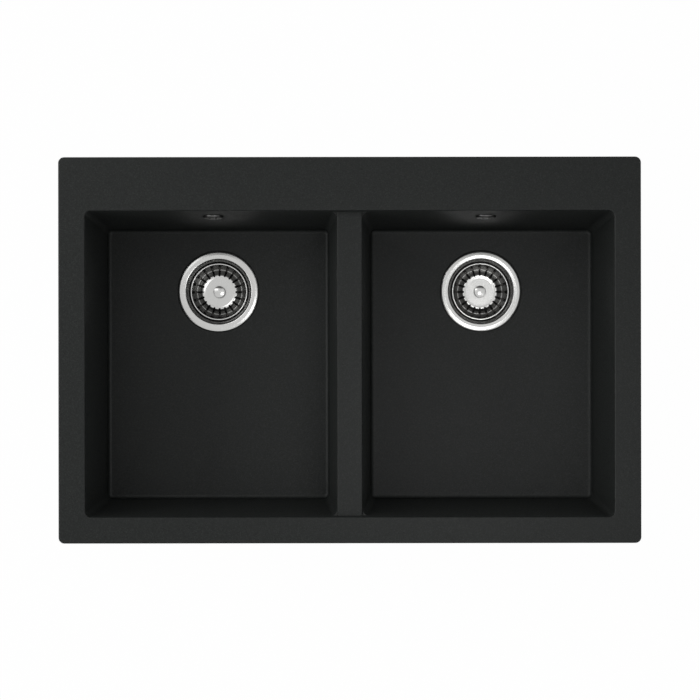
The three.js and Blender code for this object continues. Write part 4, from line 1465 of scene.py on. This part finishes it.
@dataclass
class Waste(DrainFitting):
    """Waste under one bowl: seals, chamber, outlet and clamping screw."""

    seal_inner: float = 47.0
    seal_radius: float = 54.0
    seal_thickness: float = 2.0
    wall: float = 3.0
    chamber_radius: float = 43.0
    chamber_depth: float = 38.0
    cone_depth: float = 18.0
    outlet_radius: float = 20.9
    outlet_length: float = 26.0
    collar_height: float = 3.2
    flange_thickness: float = 4.0
    hub_radius: float = 12.0
    hub_depth: float = 12.0
    spokes: int = 3
    spoke_width: float = 4.0
    gussets: int = 12
    gusset_thickness: float = 1.8
    gusset_height: float = 9.0
    head_radius: float = 9.5
    head_height: float = 3.0
    bore_radius: float = 4.2
    bore_depth: float = 16.0
    screw_length: float = 17.0
    notch_width: float = 1.8
    notch_depth: float = 1.1
    spigot_radius: float = 8.0
    spigot_wall: float = 2.0
    spigot_length: float = 22.0
    spigot_drop: float = 19.0
    thread_pitch: float = 2.3
    thread_depth: float = 1.1

    @property
    def seal_top(self) -> float:
        """Top of the seal under the bowl."""
        return -self.layout.floor_thickness - self.layout.seat_gap

    @property
    def top(self) -> float:
        """Top of the waste's flange."""
        return self.seal_top - self.seal_thickness - self.layout.seat_gap

    @property
    def cone_top(self) -> float:
        """Top of the cone."""
        return self.top - self.chamber_depth

    @property
    def cone_bottom(self) -> float:
        """Bottom of the cone."""
        return self.cone_top - self.cone_depth

    @property
    def outlet_end(self) -> float:
        """End of the outlet."""
        return self.cone_bottom - self.outlet_length

    @property
    def hub_top(self) -> float:
        """Top of the hub."""
        return -self.cup_depth - self.dimple_depth - 1 - self.layout.seat_gap

    def gasket(self, name: str, inner: float, outer: float, bottom: float, top: float) -> bpy.types.Object:
        """Rubber ring with eased edges."""
        ease = 0.2 * (top - bottom)
        profile = eased([(inner, bottom, ease), (outer, bottom, ease), (outer, top, ease), (inner, top, ease)], 3)
        return finish(self.seated(Form.turned(profile, 128), name), sharp=50)

    def threaded(self, outer: float, low: float, high: float) -> Form:
        """Sleeve with a helical thread on its outside, to be joined to the outlet.

        Args:
            outer: radius over the thread.
            low: lower end.
            high: upper end.

        Returns:
            the shape.
        """
        around, fine = 96, 8
        rows = int((high - low) / self.thread_pitch * fine)
        rings: list[list[Place]] = []
        for row in range(rows + 1):
            z = low + (high - low) * row / rows
            fade = min(1.0, (z - low) / 2.0 + 0.2, (high - z) / 2.0)
            ring: list[Place] = []
            for i in range(around):
                angle = 2 * math.pi * i / around
                phase = ((z - low) / self.thread_pitch - i / around) % 1.0
                crest = min(1.0, 2.6 * min(phase, 1 - phase))
                radius = outer - self.thread_depth * (1 - crest * max(fade, 0.0))
                ring.append((radius * math.cos(angle), radius * math.sin(angle), z))
            rings.append(ring)
        return Form.loft(rings)

    def chamber(self) -> bpy.types.Object:
        """Waste chamber: flange, cone, overflow spigot, and a hub on spokes."""
        wall = self.wall
        outer = self.chamber_radius + wall
        pipe = self.outlet_radius + wall
        under = self.top - self.flange_thickness
        profile = eased([
            (0, self.top), (self.seal_radius, self.top, 0.5), (self.seal_radius, under, 0.8),
            (outer, under - 2, 1.5), (outer, self.cone_top, 3.0),
            (pipe, self.cone_bottom + 0.4, 0.5), (pipe - 0.3, self.cone_bottom), (0, self.cone_bottom),
        ], 4, closed=False)
        thing = self.seated(Form.turned(profile, 128), "waste_chamber")
        place = self.place
        level = Matrix.Translation((0, 0, self.top - self.spigot_drop)) @ Matrix.Rotation(-math.pi / 2, 4, "X")
        end = outer + self.spigot_length
        tube = Form.turned(eased([(0, self.chamber_radius - 2), (self.spigot_radius, self.chamber_radius - 2),
                                  (self.spigot_radius, end - 5), (self.spigot_radius - 0.01, end - 4, 0.2),
                                  (self.spigot_radius, end - 3, 0.3),
                                  (self.spigot_radius - 0.7, end, 0.2), (0, end)], 3, closed=False), 48)
        half = self.gusset_thickness / 2
        rib = Form.block((outer - 1.5, -half, under - self.gusset_height), (self.seal_radius - 2.2, half, under + 0.5))
        ribs = [rib.spun(360 * (i + 0.5) / self.gussets) for i in range(self.gussets)]
        carve(thing, [form.moved(place) for form in (tube.moved(level), *ribs)], Carve.JOIN)
        hollow = Form.turned([
            (0, self.cone_bottom - 1), (self.outlet_radius, self.cone_bottom - 1),
            (self.outlet_radius, self.cone_bottom), (self.chamber_radius, self.cone_top),
            (self.chamber_radius, self.top + 1), (0, self.top + 1)], 128)
        bore = Form.cylinder(self.spigot_radius - self.spigot_wall, self.chamber_radius - 4, end + 1, 48)
        carve(thing, [form.moved(place) for form in (hollow, bore.moved(level))])
        hub_bottom = self.hub_top - self.hub_depth
        hub = Form.turned(eased([(0, hub_bottom), (self.hub_radius, hub_bottom, 0.8),
                                 (self.hub_radius, self.hub_top, 0.8), (0, self.hub_top)], closed=False), 64)
        carve(thing, [hub.moved(place)], Carve.JOIN)
        inside = Form.turned([(0, self.cone_top), (self.chamber_radius + wall / 2, self.cone_top),
                              (self.outlet_radius + wall / 2, self.cone_bottom), (0, self.cone_bottom)], 128)
        half = self.spoke_width / 2
        spoke = Form.block((0, -half, hub_bottom + 0.01), (outer, half, self.hub_top - wall))
        for i in range(self.spokes):
            arm = spoke.spun(90 + 360 * (i + 0.5) / self.spokes).moved(place).thing("spoke")
            carve(arm, [inside.moved(place)], Carve.KEEP)
            carve(thing, [arm], Carve.JOIN)
        drill = Form.cylinder(self.shank_radius + self.layout.seat_gap, self.cone_bottom, self.hub_top + 1, 64)
        carve(thing, [drill.moved(place)])
        return finish(thing)

    def outlet(self) -> bpy.types.Object:
        """Threaded outlet below the chamber's cone."""
        pipe = self.outlet_radius + self.wall
        top = self.cone_bottom - self.layout.seat_gap
        neck = top - self.collar_height
        core = pipe - self.thread_depth
        profile = eased([
            (0, top), (pipe, top, 0.3), (pipe, neck, 0.6), (core, neck - 0.8, 0.3), (core, self.outlet_end, 0.6),
            (0, self.outlet_end),
        ], 4, closed=False)
        thing = self.seated(Form.turned(profile, 128), "threaded_outlet")
        carve(thing, [self.threaded(pipe, self.outlet_end + 0.6, neck - 0.4).moved(self.place)], Carve.JOIN)
        bore = Form.turned([
            (0, self.outlet_end - 1), (self.outlet_radius + 0.6, self.outlet_end - 1),
            (self.outlet_radius + 0.6, self.outlet_end), (self.outlet_radius, self.outlet_end + 0.8),
            (self.outlet_radius, top + 1), (0, top + 1)], 128)
        carve(thing, [bore.moved(self.place)])
        return finish(thing)

    def screw(self) -> bpy.types.Object:
        """Clamping screw: a low round head with a driving slot and a hollow shank that takes the stem."""
        top = -self.cup_depth - self.dimple_depth + self.layout.seat_gap + self.head_height
        head = top - self.head_height
        end = head - self.screw_length
        profile = eased([
            (0, end), (self.shank_radius - 1, end, 0.2), (self.shank_radius, end + 1, 0.2),
            (self.shank_radius, head, 0.1), (self.head_radius, head, 0.3), (self.head_radius, top - 1, 0.5),
            (self.head_radius - 1.5, top, 0.8), (self.bore_radius + 0.6, top, 0.2), (self.bore_radius, top - 0.6, 0.2),
            (self.bore_radius, top - self.bore_depth, 0.2), (0, top - self.bore_depth),
        ], 3, closed=False)
        thing = self.seated(Form.turned(profile, 64), "draw_bolt")
        half, reach = self.notch_width / 2, self.head_radius + 1
        notch = Form.block((-reach, -half, top - self.notch_depth), (reach, half, top + 1))
        carve(thing, [notch.moved(self.place)])
        return finish(thing)

    def build(self, steel: bpy.types.Material, rubber: bpy.types.Material,
              plastic: bpy.types.Material) -> list[Piece]:
        """Builds the waste.

        Args:
            steel: finish of the screw.
            rubber: finish of the seals.
            plastic: finish of the chamber.

        Returns:
            the waste's pieces.
        """
        name = self.label
        gap = self.layout.seat_gap
        upper = self.gasket("flange_gasket", self.seal_inner, self.flange_radius - 1,
                            gap - self.layout.seat_depth, -1 - gap)
        lower = self.gasket("underside_gasket", self.seal_inner, self.seal_radius,
                            self.seal_top - self.seal_thickness, self.seal_top)
        return [
            Piece(upper, "root", Slot.RUBBER, (f"{name}_flange_seal",), rubber),
            Piece(lower, "root", Slot.RUBBER, (f"{name}_waste_seal",), rubber),
            Piece(self.chamber(), "root", Slot.BLACK_PLASTIC, (f"{name}_waste_body",), plastic),
            Piece(self.outlet(), "root", Slot.BLACK_PLASTIC, (f"{name}_waste_outlet",), plastic),
            Piece(self.screw(), "root", Slot.STEEL, (f"{name}_clamp_screw",), steel),
        ]


def cross_recess(ends: Sequence[Place], heading: float) -> list[Form]:
    """Cutters of the cross in a screw's head.

    Args:
        ends: half length, half thickness and height of the two ends of an arm.
        heading: heading of the first arm, in degrees.

    Returns:
        the two arms.
    """
    arm = Form.loft([[(x * wide, y * thin, z) for x, y in QUARTERS] for wide, thin, z in ends])
    return [arm.spun(heading + turn) for turn in (0, 90)]


@dataclass
class Overflow(Fitting):
    """Overflow of one bowl: cover and screw in the bowl, seal and elbow behind the wall, hose to the waste."""

    waste: Waste
    cover_radius: float = 14.0
    cover_height: float = 4.0
    cover_sheet: float = 1.0
    slots: int = 6
    slot_width: float = 2.6
    slot_inner: float = 5.8
    slot_outer: float = 10.0
    screw_radius: float = 2.4
    head_radius: float = 4.4
    seal_thickness: float = 2.0
    flange_radius: float = 21.0
    elbow_radius: float = 15.0
    elbow_depth: float = 30.0
    elbow_wall: float = 2.5
    bend_steps: int = 40
    post_radius: float = 5.0
    spigot_offset: float = 18.0
    rib_radius: float = 11.9
    valley_radius: float = 10.2
    cuff_radius: float = 11.0
    bend_radius: float = 42.0
    rib_pitch: float = 6.0
    cuff_length: float = 24.0
    hose_wall: float = 1.3
    hose_step: float = 0.5
    hose_sides: int = 48
    grip: float = 18.0

    @property
    def front(self) -> float:
        """Face of the elbow's flange, from the inside of the bowl's wall."""
        return self.layout.wall + 2 * self.layout.seat_gap + self.seal_thickness

    @property
    def place(self) -> Matrix:
        """Place of the overflow."""
        return self.layout.overflow(self.side)

    @property
    def level(self) -> Matrix:
        """Place of the elbow's spigot, which points down the wall."""
        turn = Matrix.Rotation(-math.pi / 2, 4, "X")
        return self.place @ Matrix.Translation((0, 0, self.layout.wall + self.spigot_offset)) @ turn

    def mounted(self, form: Form, name: str) -> bpy.types.Object:
        """Object of a shape at this overflow."""
        return form.moved(self.place).thing(f"{self.label}_{name}")

    def cover(self, slots: RadialSlots) -> bpy.types.Object:
        """Domed cover with water slots and a countersunk hole."""
        face = -self.cover_height
        gap = self.layout.seat_gap
        hole = self.screw_radius + gap
        sink = self.head_radius - self.screw_radius
        profile = eased([
            (self.cover_radius, -gap, 0.15), (self.cover_radius - self.cover_sheet, -gap, 0.15),
            (self.cover_radius - 1.6 * self.cover_sheet, face + sink + 0.4, 0.6), (hole, face + sink + 0.4, 0.1),
            (hole, face + sink, 0.1), (self.head_radius + gap, face, 0.2), (self.cover_radius / 2, face, 1.0),
            (self.cover_radius - 1.6, face + 1.1, 2.0), (self.cover_radius, face + 2.6, 1.2),
        ], 5)
        thing = self.mounted(Form.turned(profile, 96), "overflow_rose")
        holes = slots.cutter(self.slots, self.slot_width, self.slot_inner, self.slot_outer, face - 1, 0)
        scale = Matrix.Scale(MM, 4)
        holes.data.transform(scale @ self.place @ scale.inverted())
        carve(thing, [holes])
        return finish(thing)

    def screw(self) -> bpy.types.Object:
        """Cross-head screw from the cover into the elbow's post."""
        head = -self.cover_height - 0.1
        neck = head + self.head_radius - self.screw_radius
        end = self.layout.wall + self.elbow_depth / 2
        profile = eased([(0, head), (self.head_radius, head, 0.25), (self.screw_radius, neck, 0.3),
                         (self.screw_radius, end - 1, 0.2), (self.screw_radius - 1, end, 0.2), (0, end)],
                        3, closed=False)
        thing = self.mounted(Form.turned(profile, 48), "rose_screw")
        arms = cross_recess(((1.0, 0.25, head + 1.6), (2.3, 0.45, head - 0.1)), 45)
        carve(thing, [arm.moved(self.place) for arm in arms])
        return finish(thing)

    def gasket(self) -> bpy.types.Object:
        """Seal between the back of the bowl's wall and the elbow's flange."""
        low, high = self.layout.wall + self.layout.seat_gap, self.front - self.layout.seat_gap
        inner, outer = self.layout.overflow_radius + 1, self.flange_radius - 1
        profile = eased([(inner, low, 0.3), (outer, low, 0.3), (outer, high, 0.3), (inner, high, 0.3)], 3)
        return finish(self.mounted(Form.turned(profile, 96), "overflow_gasket"), sharp=50)

    def elbow(self) -> bpy.types.Object:
        """Elbow behind the wall: a flange, a chamber with the screw's post in it, and a spigot that points down."""
        back = self.front + self.elbow_depth
        inner = self.elbow_radius - self.elbow_wall
        barrel = Form.turned(eased([
            (0, self.front), (self.flange_radius, self.front, 0.4),
            (self.flange_radius, self.front + self.elbow_wall, 0.8),
            (self.elbow_radius, self.front + self.elbow_wall, 1.5), (self.elbow_radius, back - 1.5, 2.5),
            (self.elbow_radius - 3, back, 1.0), (0, back)], 4, closed=False), 96)
        thing = self.mounted(barrel, "overflow_bend")
        waste = self.waste
        end = self.elbow_radius + waste.spigot_length
        tube = Form.turned(eased([(0, self.post_radius), (waste.spigot_radius, self.post_radius),
                                  (waste.spigot_radius, end - 3, 0.3), (waste.spigot_radius - 0.7, end, 0.2),
                                  (0, end)], 3, closed=False), 48)
        carve(thing, [tube.moved(self.level)], Carve.JOIN)
        chamber = Form.cylinder(inner, self.front - 1, back - self.elbow_wall, 96)
        bore = Form.cylinder(waste.spigot_radius - waste.spigot_wall, self.post_radius, end + 1, 48)
        carve(thing, [chamber.moved(self.place), bore.moved(self.level)])
        post = Form.cylinder(self.post_radius, self.front, back - self.elbow_wall / 2, 48)
        carve(thing, [post.moved(self.place)], Carve.JOIN)
        drill = Form.cylinder(self.screw_radius + self.layout.seat_gap, self.front - 1,
                              self.layout.wall + self.elbow_depth / 2 + 1, 32)
        carve(thing, [drill.moved(self.place)])
        return finish(thing)

    def route(self) -> list[Place]:
        """Middle line of the hose, from the elbow's spigot down the wall and forward to the waste's spigot."""
        plan = self.layout
        waste = self.waste
        lean = math.radians(plan.end_draft)
        down = Vector((0, -math.sin(lean), -math.cos(lean)))
        forward = Vector((0, -1, 0))
        level = plan.wall + self.spigot_offset
        start = self.place @ Vector((0, self.elbow_radius + waste.spigot_length - self.grip, level))
        end = Vector((start.x,
                      plan.drain_y + waste.chamber_radius + waste.wall + waste.spigot_length - self.grip,
                      plan.drain_top + waste.top - waste.spigot_drop))
        corner = start + down * ((start.z - end.z) / math.cos(lean))
        turn = math.pi / 2 - lean
        tangent = self.bend_radius * math.tan(turn / 2)
        bend_start = corner - down * tangent
        centre = corner + forward * tangent + Vector((0, 0, self.bend_radius))
        spoke = (bend_start - centre).normalized()
        bend = [centre + Matrix.Rotation(-turn * i / self.bend_steps, 3, "X") @ spoke * self.bend_radius
                for i in range(self.bend_steps + 1)]
        return [tuple(point) for point in (start, *bend, end)]

    def hose(self, tube: RibbedTube, material: bpy.types.Material) -> bpy.types.Object:
        """Corrugated hose with plain cuffs.

        Args:
            tube: tree that makes the ribs.
            material: finish of the hose.

        Returns:
            the hose.
        """
        route = self.route()
        mesh = bpy.data.meshes.new("route")
        mesh.from_pydata([[value * MM for value in point] for point in route],
                         [(i, i + 1) for i in range(len(route) - 1)], [])
        thing = linked(f"{self.label}_ribbed_hose", mesh)
        tube.run(thing, material, Step=self.hose_step * MM, Cuff=self.cuff_length * MM, Pitch=self.rib_pitch * MM,
                 Rib=self.rib_radius * MM, Valley=self.valley_radius * MM, Plain=self.cuff_radius * MM,
                 Sides=self.hose_sides)
        weld(thing)
        wall = thing.modifiers.new("wall", "SOLIDIFY")
        wall.thickness = self.hose_wall * MM
        wall.offset = -1.0
        settle(thing)
        return finish(thing, sharp=60)

    def build(self, slots: RadialSlots, tube: RibbedTube, steel: bpy.types.Material, rubber: bpy.types.Material,
              black: bpy.types.Material, grey: bpy.types.Material) -> list[Piece]:
        """Builds the overflow.

        Args:
            slots: tree that makes the slots' cutters.
            tube: tree that makes the hose.
            steel: finish of the cover and its screw.
            rubber: finish of the seal.
            black: finish of the elbow.
            grey: finish of the hose.

        Returns:
            the overflow's pieces.
        """
        name = self.label
        return [
            Piece(self.cover(slots), "root", Slot.STEEL, (f"{name}_overflow_cover",), steel),
            Piece(self.screw(), "root", Slot.STEEL, (f"{name}_overflow_screw",), steel),
            Piece(self.gasket(), "root", Slot.RUBBER, (f"{name}_overflow_seal",), rubber),
            Piece(self.elbow(), "root", Slot.BLACK_PLASTIC, (f"{name}_overflow_elbow",), black),
            Piece(self.hose(tube, grey), "root", Slot.GREY_PLASTIC, (f"{name}_overflow_hose",), grey),
        ]


@dataclass
class Clip:
    """Worktop clip and its screw, about the screw's axis and from the boss's lower face, +X along the clip."""

    layout: Layout
    place: ClipPlace
    width: float = 14.0
    sheet: float = 1.6
    reach: float = 42.0
    toe: float = 7.0
    head_radius: float = 4.6
    head_height: float = 2.8
    teeth: int = 4
    tooth_depth: float = 1.6
    tooth_gap: float = 0.64

    def strip(self) -> bpy.types.Object:
        """Strip with a round heel about its screw, a stiffening rib, and a toothed toe that is bent up."""
        half = self.width / 2
        top = -self.layout.seat_gap
        bottom = top - self.sheet
        bend = 1.5 * self.sheet
        outline = [(self.reach, -half), (self.reach, half), *arc(0, 0, half, 90, 270, 20)]
        thing = Form.prism(outline, bottom, top).thing(f"clip_strip_{self.place.label}")
        toe = Form.block((self.reach - self.sheet, -half, bottom), (self.reach, half, top + self.toe))
        gusset = Form.loft([
            [(self.reach - self.sheet - bend, y, top - 0.2), (self.reach - self.sheet + 0.2, y, top - 0.2),
             (self.reach - self.sheet + 0.2, y, top + bend)] for y in (-half, half)])
        carve(thing, [toe, gusset], Carve.JOIN)
        pitch = self.width / self.teeth
        tip = top + self.toe
        gap = self.tooth_gap * pitch / 2
        notches = [Form.loft([[(x, y - gap, tip + 0.1), (x, y + gap, tip + 0.1), (x, y, tip - self.tooth_depth)]
                              for x in (self.reach - 3 * self.sheet, self.reach + 1)])
                   for y in (-half + pitch * i for i in range(1, self.teeth))]
        hole = Form.cylinder(self.layout.clip_screw_radius + self.layout.seat_gap, bottom - 1, top + 1, 40)
        carve(thing, [*notches, hole])
        finish(thing, bevel=0.25, sharp=35)
        self.seat(thing, self.place.parked)
        return thing

    def seat(self, thing: bpy.types.Object, heading: float) -> None:
        """Moves a mesh that was made about the origin under this clip's boss."""
        x, y = self.place.spot(self.layout)
        place = Matrix.Translation((x * MM, y * MM, -self.layout.clip_drop * MM))
        thing.data.transform(place @ Matrix.Rotation(math.radians(heading), 4, "Z"))
        thing.data.update()

    def screw(self) -> bpy.types.Object:
        """Pan-head screw from below the clip up into the boss."""
        head = -2 * self.layout.seat_gap - self.sheet
        bottom = head - self.head_height
        shank = self.layout.clip_screw_radius
        tip = self.layout.clip_screw_depth - 1
        profile = eased([
            (0, bottom), (self.head_radius - 1.2, bottom, 1.6), (self.head_radius, bottom + 1.2, 1.0),
            (self.head_radius, head, 0.3), (shank, head, 0.15), (shank, tip - 2, 0.5), (shank - 1.4, tip, 0.3),
            (0, tip),
        ], 4, closed=False)
        thing = Form.turned(profile, 48).thing(f"clip_bolt_{self.place.label}")
        carve(thing, cross_recess(((2.6, 0.5, bottom - 0.1), (1.1, 0.3, bottom + 1.7)), 20))
        finish(thing)
        self.seat(thing, 0)
        return thing

    def build(self, zinc: bpy.types.Material) -> list[Piece]:
        """Builds the clip.

        Args:
            zinc: its finish.

        Returns:
            the clip and its screw.
        """
        name = self.place.label
        return [
            Piece(self.strip(), f"clip_{name}", Slot.ZINC, (f"clip_{name}",), zinc),
            Piece(self.screw(), "root", Slot.ZINC, (f"clip_screw_{name}",), zinc),
        ]


# ---------------------------------------------------------------------------------------------------------------
# Studio
# ---------------------------------------------------------------------------------------------------------------


@dataclass
class Lamp:
    """Soft rectangular lamp: where it stands, where it points, its size and its power."""

    name: str
    place: Place
    target: Place
    size: Pair
    power: float

    def build(self) -> None:
        """Adds the lamp to the scene."""
        light = bpy.data.lights.new(self.name, "AREA")
        light.shape = "RECTANGLE"
        light.size, light.size_y = self.size
        light.energy = self.power
        thing = linked(self.name, light)
        thing.location = self.place
        heading = Vector(self.target) - Vector(self.place)
        thing.rotation_euler = heading.to_track_quat("-Z", "Y").to_euler()


@dataclass
class Studio:
    """Camera, lamps, world and floor, in metres. The floor lies a small gap under the object."""

    camera_place: Place = (0.0005, -0.0276, 3.613)
    lens: float = 138.57
    shift: Pair = (-0.0002, 0.02955)
    turn: float = -0.0013
    sight: float = 50.0
    ambient: float = 0.03
    reach: float = 12.0
    gap: float = 0.0003
    paper: tuple[float, ...] = (0.8, 0.8, 0.8, 1.0)
    glow: float = 0.99
    lamps: list[Lamp] = field(default_factory=lambda: [
        Lamp("west", (-1.7, 0.0, 1.1), (0.0, 0.0, -0.1), (1.2, 0.8), 15.5),
        Lamp("rear left", (-1.3, 1.3, 2.4), (-1.3, 1.3, 0.0), (1.3, 1.3), 10.5),
        Lamp("key", (0.17, -0.12, 0.95), (0.17, -0.12, 0.0), (0.26, 0.26), 1.35),
        Lamp("right", (0.6, -0.35, 1.2), (0.6, -0.35, 0.0), (0.3, 0.3), 0.25),
    ])

    def camera(self) -> None:
        """Adds the camera, which looks straight down."""
        camera = bpy.data.cameras.new("camera")
        camera.lens = self.lens
        camera.shift_x, camera.shift_y = self.shift
        camera.clip_end = self.sight
        thing = linked("camera", camera)
        thing.location = self.camera_place
        thing.rotation_euler.z = self.turn
        bpy.context.scene.camera = thing

    def seen(self, graph: Graph) -> Value:
        """1 for what the camera, a gloss or glass sees, and 0 for what lights the object.

        Args:
            graph: node tree of the floor or the world.

        Returns:
            the factor.
        """
        path = graph.node("LightPath")
        camera, gloss, glass = (Value(graph, path.outputs[label])
                                for label in ("Is Camera Ray", "Is Glossy Ray", "Is Transmission Ray"))
        return graph.math("MAXIMUM", graph.math("MAXIMUM", camera, gloss), glass)

    def world(self) -> None:
        """White where it is seen, and a low grey as light on the object."""
        world = bpy.data.worlds.new("studio")
        graph = Graph(world)
        low, high = (graph.node("Background", None, {"Color": WHITE, "Strength": strength})
                     for strength in (self.ambient, 1.0))
        mix = graph.node("MixShader", None, {0: self.seen(graph), 1: low.outputs[0], 2: high.outputs[0]})
        graph.node("OutputWorld", None, {"Surface": mix.outputs[0]})
        bpy.context.scene.world = world

    def floor(self, height: float) -> None:
        """Pale floor under the object.

        Args:
            height: its height, in metres.
        """
        mesh = bpy.data.meshes.new("floor")
        mesh.from_pydata([(x * self.reach, y * self.reach, height) for x, y in QUARTERS], [], [(0, 1, 2, 3)])
        graph = painted("floor")
        shaded = graph.node("BsdfDiffuse", None, {"Color": self.paper})
        white = graph.node("Emission", None, {"Color": WHITE, "Strength": 1.0})
        graph.end(graph.node("MixShader", None, {
            0: self.seen(graph) * self.glow, 1: shaded.outputs[0], 2: white.outputs[0]}))
        mesh.materials.append(graph.material)
        linked("floor", mesh)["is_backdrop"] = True

    def build(self, foot: float) -> None:
        """Builds the studio round an object whose lowest point is at a height."""
        self.camera()
        self.world()
        for lamp in self.lamps:
            lamp.build()
        self.floor(foot - self.gap)
        bpy.context.scene.view_settings.view_transform = "Standard"


def register(pieces: Iterable[Piece]) -> None:
    """Dresses finished pieces and ties each to its body and the nodes that it stands for.

    Args:
        pieces: the pieces.
    """
    for piece in pieces:
        piece.thing.data.materials.clear()
        piece.thing.data.materials.append(piece.material)
        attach(piece.thing, piece.body)
        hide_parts(*piece.nodes)
        LOG.info("%s on %s, %d faces", piece.thing.name, piece.body, len(piece.thing.data.polygons))


def main() -> None:
    """Builds the sink round its frame."""
    logging.basicConfig(level=logging.INFO, format="%(name)s: %(message)s")
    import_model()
    sizes = {"cad": [list(corner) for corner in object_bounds()]}
    layout = Layout()
    Studio().build(foot=sizes["cad"][0][2])
    slots, tube = RadialSlots(), RibbedTube()
    zinc = ZincPlate().material()
    rubber = Moulded("rubber", (0.014, 0.014, 0.014), roughness=0.78, grain=0.5, depth=0.03).material()
    black = Moulded("black plastic", (0.016, 0.017, 0.018), roughness=0.42, grain=0.35, depth=0.02).material()
    grey = Moulded("grey plastic", (0.26, 0.27, 0.27), roughness=0.45, grain=0.4, depth=0.02).material()
    register(Casting(layout).build(StoneComposite().material()))
    for side in Side:
        steel = TurnedSteel(layout.drain(side)).material(f"{side.label} turned steel")
        # The overflow cover and its screw are painted dark as shade; only their higher roughness is the steel's own
        # dullness.
        dull = TurnedSteel(tuple(layout.overflow(side).translation), colour=(0.12, 0.12, 0.118),
                           roughness=0.3).material(f"{side.label} dull steel")
        register(Strainer(layout, side).build(slots, steel, rubber))
        waste = Waste(layout, side)
        register(waste.build(steel, rubber, black))
        register(Overflow(layout, side, waste).build(slots, tube, dull, rubber, black, grey))
    for place in ClipPlace:
        register(Clip(layout, place).build(zinc))
    sizes["visual"] = [list(corner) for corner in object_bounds()]


if __name__ == "__main__":
    main()
